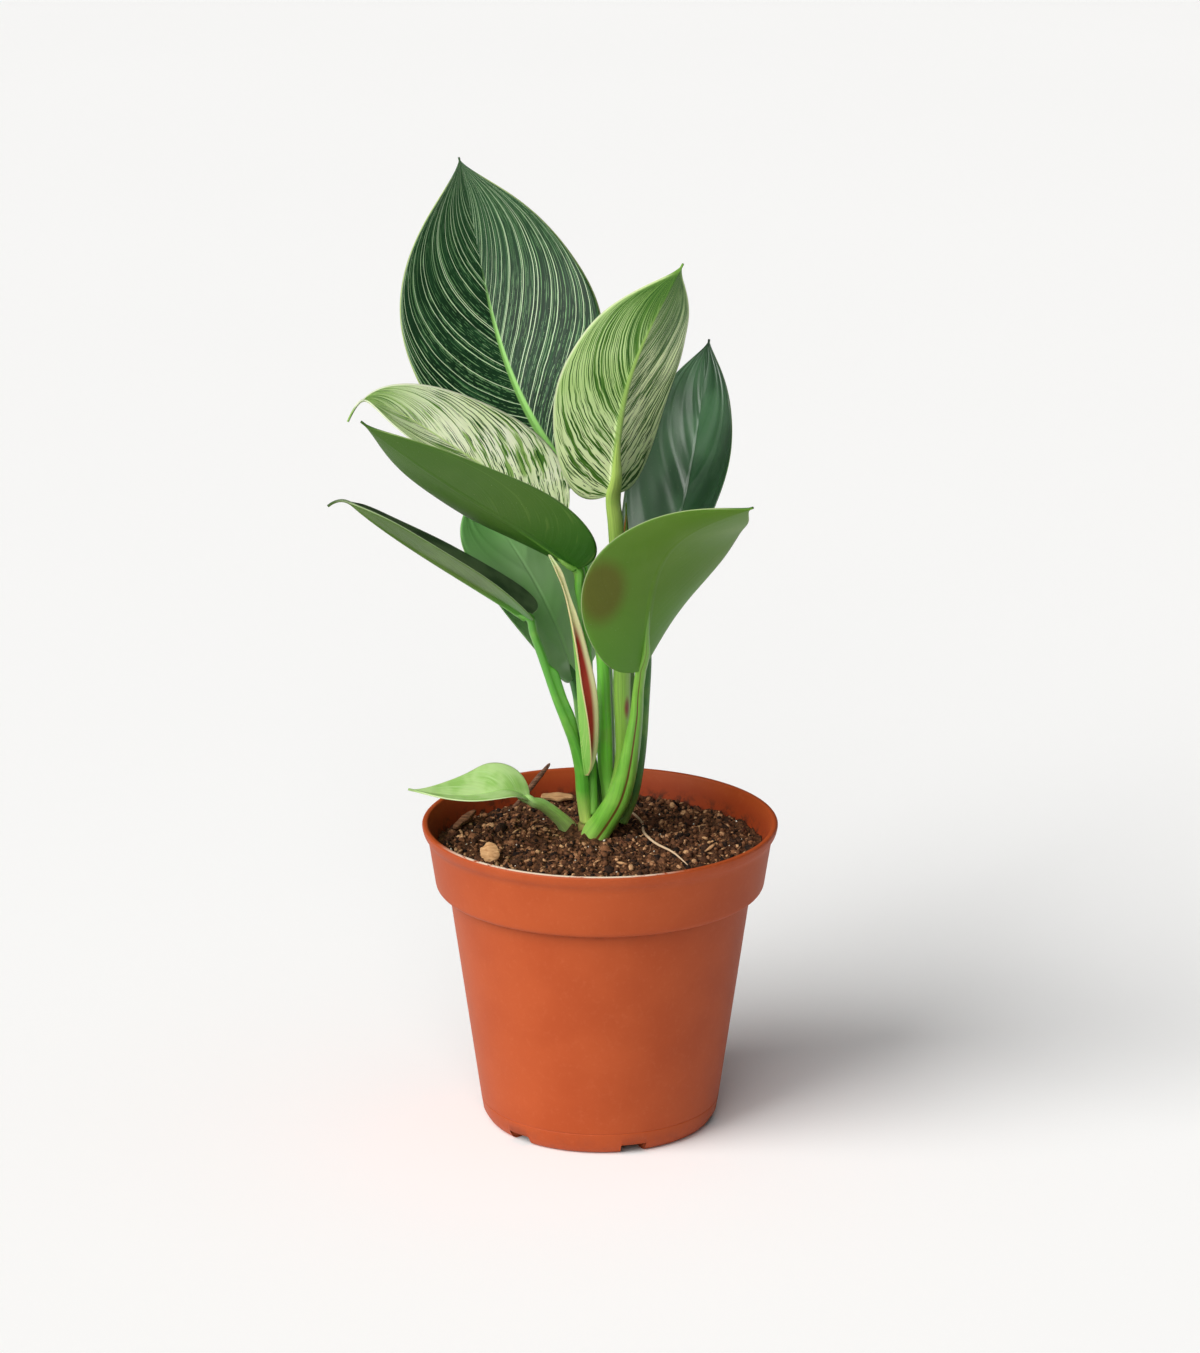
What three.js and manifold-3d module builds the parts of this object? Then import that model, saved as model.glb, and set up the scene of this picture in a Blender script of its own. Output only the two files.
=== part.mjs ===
// A pin-striped philodendron in its plastic nursery pot.
// Millimetres, +Z up. The origin is the middle of the pot's base, on the surface that the pot
// stands on. +X is the right of the plant and +Y its back.
import * as THREE from 'three';
import { mergeVertices } from 'three/addons/utils/BufferGeometryUtils.js';
import Module from 'manifold-3d';

const wasm = await Module();
wasm.setup();

// ---- driving dimensions ------------------------------------------------------------------------
const GAP = 0.3; // clearance between neighbouring solids

const POT = {
  height: 92,
  rimRadius: 52.4, // outside of the lip, a 10.5 cm pot
  lipDepth: 3,
  lipWidth: 1.7,
  lipEdge: 0.5, // how much each edge of the lip is drawn in
  lipStep: 1.6, // height over which the band flares out to the lip
  bandTopRadius: 50.6,
  bandFootRadius: 48.3,
  bandFootHeight: 72, // the band's foot steps in to the body here
  bodyTopRadius: 44.6,
  bodyFootRadius: 35.2,
  cornerHeight: 4,
  footRadius: 33.2,
  footEdge: 0.9,
  wall: 1.2,
  floor: 1.4,
  sides: 60,
};
const DRAIN = { count: 6, firstTurn: 16.5, width: 8, height: 3, innerRadius: 24, overrun: 2 };

const SOIL = {
  edgeHeight: 83.6,
  mound: 3, // rise of the soil round the stem
  moundRadius: 24,
  clods: 0.55, // height of the broad unevenness
  crumbs: 0.5, // height of the small one
  wallGap: 0.45,
  sides: 54,
  topRings: 11,
};

const CROWN = {
  x: -0.5,
  y: 8,
  radius: 6,
  footHeight: 62,
  footEdge: 1,
  shoulderHeight: 88,
  topHeight: 90.5,
  topEdge: 2,
  sides: 20,
};

const BLADE = {
  lengthSteps: 18,
  midThickness: 0.9,
  marginThickness: 0.64,
  ribHalfWidth: 1.3,
  ribDepth: 1.7, // how far the midrib stands out below the blade at its base
  baseHalfWidth: 1.7,
  tipHalfWidth: 0.35,
  tipReach: 0.06, // share of the length in which the outline draws in to the drip tip
  lobeReach: 3.8, // how far a basal lobe of size 1 sweeps back at its margin
  lobePower: 6, // how fast that sweep fades along the blade
  fullRibWidth: 40, // narrower blades have a midrib that is as much shallower
  endShare: 0.055, // on a narrow blade the ends' half-width is at most this share of its width
  leanHalfWidth: 3, // where a folded blade is narrower, its faces lean less and so never cross
  columns: [-1, -2 / 3, -1 / 3, 0, 1 / 3, 2 / 3, 1], // lines along the blade, margin to margin
  ribShare: 0.3, // the midrib takes at most this share of the half-width
  bodyEnd: 0.9999, // beyond its body the blade is only as wide as the drip tip
  probe: 0.002, // the direction along the blade is taken over twice this share of its length
};
const NO_TAIL = { share: 0, reach: 0.1, droop: [0, 0, 0] };
const STALK = {
  sides: 10,
  steps: 18,
  flatness: 0.8,
  seat: 0.35, // clearance between the stalk's end and the blade's base
};
const BIT = { sides: 6, rings: [[-1, 0.35], [-0.6, 1], [0.1, 0.85], [0.65, 0.95], [1, 0.4]] };

// Each leaf: the midrib as a cubic curve from base to tip, the blade's full width, the directions
// that its upper side faces at base and tip, how far each half folds up at the midrib and curls
// towards its margin (degrees, left then right of someone who looks from base to tip on the upper
// side), the powers that shape the outline at base and tip, the right half's share of the width,
// and how far the basal lobes reach back. Some blades end in a thin tail: its share of the length,
// the share over which the midrib bends there, and how far the tip is bent.
// The stalk runs through places [x, y, z, width] from the crown to the blade's base. It ends with a
// stretch of length lead in line with the blade, and is stalkTop wide there.
const LEAVES = [
  {
    name: 'striped_leaf',
    rib: [[-10, 14, 194], [-32, 18, 223], [-32, 39, 240], [-41, 38, 282]],
    width: 61.5, faces: [[0.27, -0.89, 0.31], [0.12, -0.89, 0.32]],
    fold: [14, 13], curl: [8, 8], outline: [0.63, 0.71], share: 1, lobe: 3,
    stalk: [
      [2.7, 9.5, 92.5, 4.4], [2.4, 9.5, 99.4, 5.4], [1.9, 9.3, 106.3, 6.4], [1.8, 8.8, 115.4, 6.5],
      [1.6, 8.5, 126.3, 6.2], [1.2, 8.3, 138, 5.6], [-0.6, 9, 149.1, 5], [-5, 10.5, 163.8, 4.4],
      [-9.9, 12.5, 178.4, 3.8], [-11.6, 13.5, 186.2, 3.6],
    ],
    stalkTop: 3.6, lead: 2,
  },
  {
    name: 'pale_upright_leaf',
    rib: [[3.9, -4, 192.1], [8, -12, 227], [13, -18, 236], [23, -30, 264]],
    width: 45, faces: [[-0.53, 0.76, 0.1], [-0.29, 0.82, 0.31]],
    fold: [32, 31], curl: [8, 7], outline: [0.42, 0.83], share: 0.95, lobe: 3,
    stalk: [
      [2.4, 5.2, 92.7, 5.2], [4.8, 4.6, 100.4, 4.8], [6.3, 3.6, 108.7, 4.4], [6.6, 2.4, 120.5, 5],
      [6.4, 1.4, 131.5, 5.5], [6.4, 0.4, 145.4, 5.3], [5.8, -0.8, 159.4, 5.1],
      [5.1, -2, 171.7, 4.9], [4.5, -3, 182.4, 4.8],
    ],
    stalkTop: 4.6, lead: 3,
  },
  {
    name: 'pale_arching_leaf',
    rib: [[-9.6, -2, 184.5], [-33.7, -7.3, 197.7], [-68.5, -7.8, 229.9], [-69.1, -10.9, 218.2]],
    width: 36.7, faces: [[0.11, -0.53, 0.75], [-0.33, -0.65, 0.52]],
    fold: [34, 8], curl: [12, 8], outline: [0.42, 1.14], share: 1, lobe: 0,
    tail: { share: 0.1, reach: 0.13, droop: [-2.5, 0, -3.5] },
    stalk: [
      [-3, 11.2, 92, 4.6], [-3.6, 11.4, 106.9, 4.6], [-3.8, 10.4, 125.7, 4.4],
      [-4.1, 8, 141.7, 4.2], [-5, 5, 157.8, 4], [-6.7, 2.2, 170.6, 3.8], [-8.2, 0.2, 178.4, 3.6],
    ],
    stalkTop: 3.6, lead: 2,
  },
  {
    name: 'left_front_leaf',
    rib: [[-7, -16, 173], [-21, -21, 187], [-41, -38, 200], [-66, -46, 223]],
    width: 42.5, faces: [[-0.07, 0.26, 0.87], [-0.18, 0.48, 0.82]],
    fold: [4, 14], curl: [3, 5], outline: [0.49, 0.91], share: 1.02, lobe: 0.7,
    stalk: [
      [-2.7, 6.4, 92.3, 4.6], [-2.9, 5.6, 105.6, 4.4], [-3.2, 4.4, 116.8, 4.2],
      [-3.5, 1.5, 128.4, 4], [-3.9, -4, 143.7, 3.6], [-4.9, -10, 158.3, 3.2], [-6, -14, 166.9, 3],
    ],
    stalkTop: 3.2, lead: 1.5,
  },
  {
    name: 'right_front_leaf',
    rib: [[11.8, -12.6, 141.8], [15.5, -21.3, 175.4], [13.3, -21.4, 182.9], [42.3, -50.8, 199.7]],
    width: 53, faces: [[-0.23, -0.03, 0.75], [-0.13, 0.57, 0.56]],
    fold: [4, 8], curl: [5, 6], outline: [0.33, 0.67], share: 0.87, lobe: -1.2,
    stalk: [
      [-3.5, 3.6, 82.7, 7], [-1.8, 1.8, 86.4, 8], [1.5, -0.3, 92, 8], [5.1, -2.2, 98.9, 7.8],
      [7.2, -3.6, 105.5, 7.2], [8.5, -4.8, 112, 6.8], [9.6, -6, 119.1, 6],
      [10.6, -7.6, 126.6, 4.8], [11, -9.8, 134, 4],
    ],
    stalkTop: 3.8, lead: 2,
  },
  {
    name: 'left_folded_leaf',
    rib: [[-21.1, -3.7, 155.2], [-35.3, -2, 164.4], [-67.9, -13.1, 185.2], [-75.5, -13.5, 196.5]],
    width: 32.9, faces: [[-0.08, 0, 0.94], [0.1, 0.12, 0.94]],
    fold: [16, 17], curl: [2, 3], outline: [0.4, 0.63], share: 1.02, lobe: 1.8,
    tail: { share: 0.12, reach: 0.156, droop: [-2.1, -0.3, -5.8] },
    stalk: [
      [-4.1, 6.2, 89.3, 4.4], [-4.4, 6, 93.1, 5], [-4.9, 5.2, 98.9, 5.4], [-5.4, 4, 106.1, 5.2],
      [-7.3, 2.6, 114.9, 4.6], [-10, 1.4, 122.3, 4], [-12.6, 0.4, 129.3, 3.6],
      [-14.9, -0.8, 136.7, 3.5], [-17.4, -2.2, 144.7, 3.4], [-19.3, -3.2, 150.6, 3.3],
    ],
    stalkTop: 3.2, lead: 1.2,
  },
  {
    name: 'right_back_leaf',
    rib: [[15, 14, 152], [26, 20, 180], [29, 29, 200], [32, 34, 229]],
    width: 46, faces: [[-0.82, -0.46, 0.28], [-0.5, -0.77, 0.3]],
    fold: [9, 17], curl: [5, 7], outline: [0.54, 0.75], share: 1.02, lobe: 3,
    stalk: [
      [6.5, 9.4, 88.2, 4.2], [9.5, 10, 95.8, 4.4], [11.2, 10.6, 104, 4.2], [12.3, 11.2, 113.1, 4],
      [13, 12, 123.7, 3.8], [13.7, 13, 137.2, 3.6],
    ],
    stalkTop: 3.4, lead: 4,
  },
  {
    name: 'left_back_leaf',
    rib: [[-8, 20, 130], [-13, 21, 150], [-24, 27, 167], [-38, 38, 182]],
    width: 45.6, faces: [[0.68, -0.6, 0.42], [0.19, -0.71, 0.35]],
    fold: [21, 1], curl: [9, 5], outline: [0.62, 0.61], share: 0.96, lobe: 2.4,
    stalk: [
      [-0.4, 13.6, 89, 4.4], [-2.6, 16, 104, 4], [-5.6, 18.6, 118, 3.6],
    ],
    stalkTop: 3.4, lead: 6,
  },
  {
    name: 'small_leaf',
    rib: [[-21, -2, 99], [-31, -4, 107], [-29, -6, 97], [-56, -8, 104]],
    width: 20.6, faces: [[0.13, -0.36, 0.9], [-0.1, -0.34, 0.91]],
    fold: [25, 16], curl: [6, 4], outline: [0.48, 0.82], share: 1, lobe: 0,
    stalk: [
      [-6.6, 13.5, 80.6, 5.6], [-9.5, 10.8, 85.9, 5.6], [-11.8, 8, 89.6, 4.6],
      [-14.8, 4.5, 93.9, 3.2], [-17.4, 1.2, 97.1, 2.5],
    ],
    stalkTop: 2.2, lead: 1.5,
  },
];

// The two papery sheaths that wrapped younger leaves, shaped as narrow folded blades.
const SHEATHS = [
  {
    name: 'front_sheath',
    rib: [[-3.8, 1.5, 105.4], [-7.6, -3, 129.7], [-6.6, -12, 159.5], [-14.5, -19, 177.7]],
    width: 10.5, faces: [[0.89, -0.45, 0.1], [0.89, -0.45, 0.1]],
    fold: [48, 48], curl: [10, 10], outline: [0.6, 1.8], share: 1.05, lobe: 0,
  },
  {
    name: 'back_sheath',
    rib: [[8.4, 5.2, 95], [8.8, 6.6, 127], [8.4, 4, 160], [7.5, 1.4, 187.8]],
    width: 7, faces: [[-0.3, 0.9, 0.1], [-0.3, 0.9, 0.1]],
    fold: [40, 40], curl: [10, 10], outline: [0.3, 0.7], share: 1, lobe: 0,
  },
];

// Woody bits of the potting mix that lie loose on it: the middle, the half sizes, the turns.
const BITS = [
  { name: 'wood_chip', at: [-32.1, -14, 86.4], half: [2.8, 2.9, 0.8], turn: [55, -14, 8], colour: 0xb08a63 },
  { name: 'bark_stick', at: [-40.4, 18.6, 86], half: [6.6, 1.2, 0.9], turn: [0, -8, 62], colour: 0x8a5c3c },
  { name: 'bark_flake', at: [-13, 41.6, 85.6], half: [5, 1.5, 0.8], turn: [22, 2, 3], colour: 0xb5936a },
  { name: 'dry_twig', at: [-21, 36.4, 90.3], half: [9.5, 0.8, 0.8], turn: [0, -50, 12], colour: 0x5a4632 },
];

// ---- solids ------------------------------------------------------------------------------------
function solidFrom(geometry) {
  const bare = geometry.clone();
  bare.deleteAttribute('normal');
  bare.deleteAttribute('uv');
  const merged = mergeVertices(bare, 1e-4);
  const mesh = { numProp: 3, vertProperties: merged.attributes.position.array };
  mesh.triVerts = new Uint32Array(merged.index.array);
  return new wasm.Manifold(new wasm.Mesh(mesh));
}

function geometryFrom(solid) {
  const mesh = solid.getMesh();
  const geometry = new THREE.BufferGeometry();
  geometry.setAttribute('position', new THREE.BufferAttribute(new Float32Array(mesh.vertProperties), 3));
  geometry.setIndex(new THREE.BufferAttribute(new Uint32Array(mesh.triVerts), 1));
  geometry.computeVertexNormals();
  return geometry;
}

function geometryOf(points, triangles) {
  const geometry = new THREE.BufferGeometry();
  geometry.setAttribute('position', new THREE.Float32BufferAttribute(points.flatMap(p => p.toArray()), 3));
  geometry.setIndex(triangles.flat());
  return geometry;
}

// A solid keeps only its largest body, so that a cut never leaves a loose scrap.
function largestBody(solid) {
  const bodies = solid.decompose();
  return bodies.reduce((a, b) => (b.volume() > a.volume() ? b : a));
}

// A closed skin round a path: each ring has as many points, and both ends are capped.
function skinOver(rings) {
  const count = rings[0].length;
  const points = rings.flat();
  const triangles = [];
  for (let i = 0; i + 1 < rings.length; i += 1) {
    for (let k = 0; k < count; k += 1) {
      const a = i * count + k;
      const b = i * count + ((k + 1) % count);
      triangles.push([a, b, b + count], [a, b + count, a + count]);
    }
  }
  for (const [ring, first, flip] of [[rings[0], 0, true], [rings.at(-1), (rings.length - 1) * count, false]]) {
    const middle = points.length;
    points.push(ring.reduce((sum, p) => sum.add(p), new THREE.Vector3()).divideScalar(count));
    for (let k = 0; k < count; k += 1) {
      const edge = [first + k, first + ((k + 1) % count)];
      triangles.push(flip ? [middle, edge[1], edge[0]] : [middle, ...edge]);
    }
  }
  return geometryOf(points, triangles);
}

// A closed thin sheet from two grids of points, split into triangles alike on both faces.
function skinBetween(top, bottom) {
  const rows = top.length;
  const columns = top[0].length;
  const points = [...top.flat(), ...bottom.flat()];
  const upper = (i, j) => i * columns + j;
  const lower = (i, j) => rows * columns + i * columns + j;
  const triangles = [];
  const edge = (i, j, m, n) => {
    triangles.push([upper(i, j), upper(m, n), lower(m, n)], [upper(i, j), lower(m, n), lower(i, j)]);
  };
  for (let i = 0; i + 1 < rows; i += 1) {
    for (let j = 0; j + 1 < columns; j += 1) {
      triangles.push([upper(i, j), upper(i, j + 1), upper(i + 1, j + 1)]);
      triangles.push([upper(i, j), upper(i + 1, j + 1), upper(i + 1, j)]);
      triangles.push([lower(i, j), lower(i + 1, j + 1), lower(i, j + 1)]);
      triangles.push([lower(i, j), lower(i + 1, j), lower(i + 1, j + 1)]);
    }
    edge(i, 0, i + 1, 0);
    edge(i + 1, columns - 1, i, columns - 1);
  }
  for (let j = 0; j + 1 < columns; j += 1) {
    edge(0, j + 1, 0, j);
    edge(rows - 1, j, rows - 1, j + 1);
  }
  return geometryOf(points, triangles);
}

// ---- leaves ------------------------------------------------------------------------------------
// Half-width along the blade, from 0 at the base through 1 at the widest place to 0 at the tip.
function outlineAt(u, [basePower, tipPower]) {
  return u ** basePower * (1 - u) ** tipPower * (1 - Math.exp((u - 1) / BLADE.tipReach));
}

function outlinePeak(powers) {
  let peak = 0;
  for (let k = 1; k < 200; k += 1) peak = Math.max(peak, outlineAt(k / 200, powers));
  return peak;
}

function ribCurve(leaf) {
  return new THREE.CubicBezierCurve3(...leaf.rib.map(p => new THREE.Vector3(...p)));
}

// Place on the midrib at a share u of its length, with the tail bent by its droop.
function ribPlace(leaf, curve, u) {
  const { reach, droop } = leaf.tail ?? NO_TAIL;
  const bent = Math.max(0, (u - 1 + reach) / reach);
  return curve.getPoint(u).addScaledVector(new THREE.Vector3(...droop), bent ** 2);
}

// The blade's own frame at a share u of its length: place, direction, upper side and right side.
function frameAt(leaf, curve, u) {
  const at = ribPlace(leaf, curve, u);
  const before = ribPlace(leaf, curve, Math.max(0, u - BLADE.probe));
  const along = ribPlace(leaf, curve, Math.min(1, u + BLADE.probe)).sub(before).normalize();
  const [base, tip] = leaf.faces.map(p => new THREE.Vector3(...p));
  const up = base.lerp(tip, u);
  up.addScaledVector(along, -up.dot(along)).normalize();
  return { at, along, up, right: new THREE.Vector3().crossVectors(along, up) };
}

function bladeGeometry(leaf) {
  const curve = ribCurve(leaf);
  const peak = outlinePeak(leaf.outline);
  const top = [];
  const bottom = [];
  for (let i = 0; i <= BLADE.lengthSteps; i += 1) {
    const u = (1 - Math.cos((Math.PI * i) / BLADE.lengthSteps)) / 2;
    const { at, along, up, right } = frameAt(leaf, curve, u);
    const body = Math.min(BLADE.bodyEnd, u / (1 - (leaf.tail ?? NO_TAIL).share));
    const swell = outlineAt(body, leaf.outline) / peak;
    const least = THREE.MathUtils.lerp(BLADE.baseHalfWidth, BLADE.tipHalfWidth, u);
    const half = Math.max((leaf.width / 2) * swell, Math.min(least, leaf.width * BLADE.endShare));
    const rib = Math.min(BLADE.ribShare, BLADE.ribHalfWidth / half);
    const ribDepth = BLADE.ribDepth * (1 - u) * Math.min(1, leaf.width / BLADE.fullRibWidth);
    const leaning = Math.min(1, half / BLADE.leanHalfWidth);
    const over = [];
    const under = [];
    for (const v of [...BLADE.columns, -rib, rib].sort((a, b) => a - b)) {
      const side = v < 0 ? 0 : 1;
      const sign = v < 0 ? -1 : 1;
      const out = Math.abs(v);
      const fold = THREE.MathUtils.degToRad(leaf.fold[side]);
      const curl = THREE.MathUtils.degToRad(leaf.curl[side]);
      const lean = v === 0 ? 0 : (fold + curl * out) * leaning;
      const reach = half * (side ? leaf.share : 2 - leaf.share);
      const across = (reach * (Math.sin(fold + curl * out) - Math.sin(fold))) / curl;
      const rise = (reach * (Math.cos(fold) - Math.cos(fold + curl * out))) / curl;
      const back = BLADE.lobeReach * leaf.lobe * swell * (1 - u) ** BLADE.lobePower * out * out;
      const point = at.clone().addScaledVector(right, sign * across);
      point.addScaledVector(up, rise).addScaledVector(along, -back);
      const normal = up.clone().multiplyScalar(Math.cos(lean));
      normal.addScaledVector(right, -sign * Math.sin(lean));
      const thick = THREE.MathUtils.lerp(BLADE.midThickness, BLADE.marginThickness, out) / 2;
      over.push(point.clone().addScaledVector(normal, thick));
      under.push(point.clone().addScaledVector(normal, -thick - (v === 0 ? ribDepth : 0)));
    }
    top.push(over);
    bottom.push(under);
  }
  return skinBetween(top, bottom);
}

// A leaf stalk: an oval section that tapers along a smooth path from the crown to the blade.
function stalkGeometry(leaf, grow = 0) {
  const { at, along, right } = frameAt(leaf, ribCurve(leaf), 0);
  const end = at.clone().addScaledVector(along, grow - STALK.seat);
  const near = at.clone().addScaledVector(along, -leaf.lead);
  const places = leaf.stalk.map(([x, y, z]) => new THREE.Vector3(x, y, z));
  const path = new THREE.CatmullRomCurve3([...places, near, end]);
  const widths = [...leaf.stalk.map(place => place[3]), leaf.stalkTop, leaf.stalkTop];
  const foot = places[0];
  const round = new THREE.Vector3(CROWN.y - foot.y, foot.x - CROWN.x, 0).normalize();
  if (round.dot(right) < 0) round.negate();
  const rings = [];
  for (let i = 0; i <= STALK.steps; i += 1) {
    const s = i / STALK.steps;
    const middle = path.getPointAt(s);
    const direction = path.getTangentAt(s);
    if (i === 0) middle.addScaledVector(direction, -grow);
    const side = round.clone().lerp(right, s);
    side.addScaledVector(direction, -side.dot(direction)).normalize();
    const up = new THREE.Vector3().crossVectors(direction, side);
    const stage = path.getUtoTmapping(s) * (widths.length - 1);
    const from = Math.min(Math.floor(stage), widths.length - 2);
    const half = THREE.MathUtils.lerp(widths[from], widths[from + 1], stage - from) / 2;
    const ring = [];
    for (let k = 0; k < STALK.sides; k += 1) {
      const turn = (2 * Math.PI * k) / STALK.sides;
      const point = middle.clone().addScaledVector(side, (half + grow) * Math.cos(turn));
      ring.push(point.addScaledVector(up, (half * STALK.flatness + grow) * Math.sin(turn)));
    }
    rings.push(ring);
  }
  return skinOver(rings);
}

// ---- pot, soil and crown -----------------------------------------------------------------------
// A closed turned form about +Z from a profile of [radius, height] points.
function turned(profile, sides) {
  const points = profile.map(([radius, height]) => new THREE.Vector2(radius, height));
  return new THREE.LatheGeometry(points, sides).rotateX(Math.PI / 2);
}

function potSolid() {
  const { height, wall, rimRadius, lipWidth, lipEdge } = POT;
  const { bandTopRadius, bandFootRadius, bandFootHeight } = POT;
  const lipFoot = height - POT.lipDepth;
  const profile = [
    [0, 0],
    [POT.footRadius, 0],
    [POT.bodyFootRadius - POT.footEdge, POT.footEdge],
    [POT.bodyFootRadius, POT.cornerHeight],
    [POT.bodyTopRadius, bandFootHeight],
    [bandFootRadius, bandFootHeight],
    [bandTopRadius, lipFoot - POT.lipStep],
    [rimRadius - lipEdge, lipFoot + lipEdge],
    [rimRadius, height - lipEdge],
    [rimRadius - lipEdge, height],
    [rimRadius - lipWidth, height],
    [bandTopRadius - wall, lipFoot - POT.lipStep],
    [bandFootRadius - wall, bandFootHeight + wall / 2],
    [POT.bodyTopRadius - wall, bandFootHeight - wall],
    [POT.bodyFootRadius - wall, POT.cornerHeight],
    [POT.footRadius - wall / 2, POT.floor],
    [0, POT.floor],
  ];
  let pot = solidFrom(turned(profile, POT.sides));
  const depth = POT.bodyFootRadius + DRAIN.overrun - DRAIN.innerRadius;
  for (let k = 0; k < DRAIN.count; k += 1) {
    const notch = new THREE.BoxGeometry(DRAIN.width, depth, 2 * DRAIN.height);
    notch.translate(0, -DRAIN.innerRadius - depth / 2, 0);
    notch.rotateZ(THREE.MathUtils.degToRad(DRAIN.firstTurn + (360 * k) / DRAIN.count));
    pot = pot.subtract(solidFrom(notch));
  }
  return pot;
}

// Height of the soil: level at the wall, mounded round the stem, broken into crumbs.
function soilHeight(x, y) {
  const radius = Math.hypot(x, y);
  const mound = SOIL.mound * Math.exp(-((radius / SOIL.moundRadius) ** 2));
  const clods = SOIL.clods * Math.sin(0.31 * x + 1.1) * Math.sin(0.36 * y + 0.4);
  const crumbs = SOIL.crumbs * Math.sin(1.05 * x + 0.8 * y) * Math.cos(0.9 * y - 0.7 * x + 2);
  return SOIL.edgeHeight + mound + clods + crumbs;
}

function soilSolid() {
  const inset = POT.wall + SOIL.wallGap;
  const floor = POT.floor + GAP;
  const slope = (POT.bandTopRadius - POT.bandFootRadius) / (POT.height - POT.bandFootHeight);
  const top = POT.bandFootRadius - inset + slope * (SOIL.edgeHeight - POT.bandFootHeight);
  const rings = [
    [POT.footRadius - POT.wall / 2 - GAP, floor],
    [POT.bodyFootRadius - inset, POT.cornerHeight],
    [POT.bodyTopRadius - inset, POT.bandFootHeight - POT.wall - GAP],
    [POT.bandFootRadius - inset, POT.bandFootHeight + POT.wall / 2],
  ];
  for (let k = 0; k < SOIL.topRings; k += 1) rings.push([top * (1 - k / SOIL.topRings), null]);
  return solidFrom(skinOver(rings.map(([radius, height]) => {
    const ring = [];
    for (let k = 0; k < SOIL.sides; k += 1) {
      const turn = (2 * Math.PI * k) / SOIL.sides;
      const x = radius * Math.cos(turn);
      const y = radius * Math.sin(turn);
      ring.push(new THREE.Vector3(x, y, height ?? soilHeight(x, y)));
    }
    return ring;
  })));
}

function crownSolid(grow = 0) {
  const radius = CROWN.radius + grow;
  const profile = [
    [0, CROWN.footHeight - grow],
    [radius - CROWN.footEdge, CROWN.footHeight - grow],
    [radius, CROWN.footHeight + CROWN.footEdge],
    [radius, CROWN.shoulderHeight + grow],
    [radius - CROWN.topEdge, CROWN.topHeight + grow],
    [0, CROWN.topHeight + grow],
  ];
  return solidFrom(turned(profile, CROWN.sides)).translate([CROWN.x, CROWN.y, 0]);
}

// A splinter of bark: a rough slab, pointed at its ends.
function bitGeometry({ at, half, turn }, grow = 0) {
  const [length, width, depth] = half.map(size => size + grow);
  const rings = BIT.rings.map(([place, swell]) => {
    const ring = [];
    for (let k = 0; k < BIT.sides; k += 1) {
      const angle = (2 * Math.PI * k) / BIT.sides + 0.3;
      ring.push(new THREE.Vector3(
        place * length, swell * width * Math.cos(angle), swell * depth * Math.sin(angle)));
    }
    return ring;
  });
  const [tip, roll, yaw] = turn.map(THREE.MathUtils.degToRad);
  return skinOver(rings).rotateX(tip).rotateY(roll).rotateZ(yaw).translate(...at);
}

// ---- assembly ----------------------------------------------------------------------------------
const COLOURS = {
  terracotta: { color: 0xc4623a, roughness: 0.55 },
  peat: { color: 0x2f221b, roughness: 0.95 },
  crown: { color: 0x6f8a3c, roughness: 0.6 },
  striped: { color: 0x1d3d28, roughness: 0.42 },
  cream: { color: 0xc9d8a0, roughness: 0.5 },
  green: { color: 0x3f6b35, roughness: 0.45 },
  dark: { color: 0x22442c, roughness: 0.4 },
  lime: { color: 0x8fc062, roughness: 0.5 },
  stalk: { color: 0x5f9a3c, roughness: 0.5 },
  sheath: { color: 0xb8b070, roughness: 0.6 },
};
const BLADE_COLOUR = {
  striped_leaf: 'striped',
  pale_upright_leaf: 'cream',
  pale_arching_leaf: 'cream',
  small_leaf: 'lime',
  right_back_leaf: 'dark',
  left_back_leaf: 'dark',
};

const plant = new THREE.Group();

function addNode(name, geometry, finish) {
  const mesh = new THREE.Mesh(geometry, new THREE.MeshStandardMaterial({ ...finish, metalness: 0 }));
  mesh.name = name;
  plant.add(mesh);
}

// Stalks give way to the crown and to the stalks placed before them, with the gap kept.
const crown = crownSolid();
let taken = crownSolid(GAP);
for (const leaf of LEAVES) {
  const stalk = largestBody(solidFrom(stalkGeometry(leaf)).subtract(taken));
  taken = taken.add(solidFrom(stalkGeometry(leaf, GAP)));
  addNode(`${leaf.name}_blade`, bladeGeometry(leaf), COLOURS[BLADE_COLOUR[leaf.name] ?? 'green']);
  addNode(`${leaf.name}_stalk`, geometryFrom(stalk), COLOURS.stalk);
}
for (const sheath of SHEATHS) {
  const solid = largestBody(solidFrom(bladeGeometry(sheath)).subtract(taken));
  addNode(sheath.name, geometryFrom(solid), COLOURS.sheath);
}
for (const bit of BITS) {
  taken = taken.add(solidFrom(bitGeometry(bit, GAP)));
  addNode(bit.name, bitGeometry(bit), { color: bit.colour, roughness: 0.85 });
}
addNode('crown', geometryFrom(crown), COLOURS.crown);
addNode('potting_soil', geometryFrom(largestBody(soilSolid().subtract(taken))), COLOURS.peat);
addNode('pot', geometryFrom(potSolid()), COLOURS.terracotta);

export default plant;
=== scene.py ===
"""The looks of a pin-striped philodendron in its plastic nursery pot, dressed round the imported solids.

Sizes here are millimetres, in the plant's own frame: +X its right, +Y its back, +Z up, with the
origin in the middle of the pot's base. make_mesh() turns them into metres.
"""
import math

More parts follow.
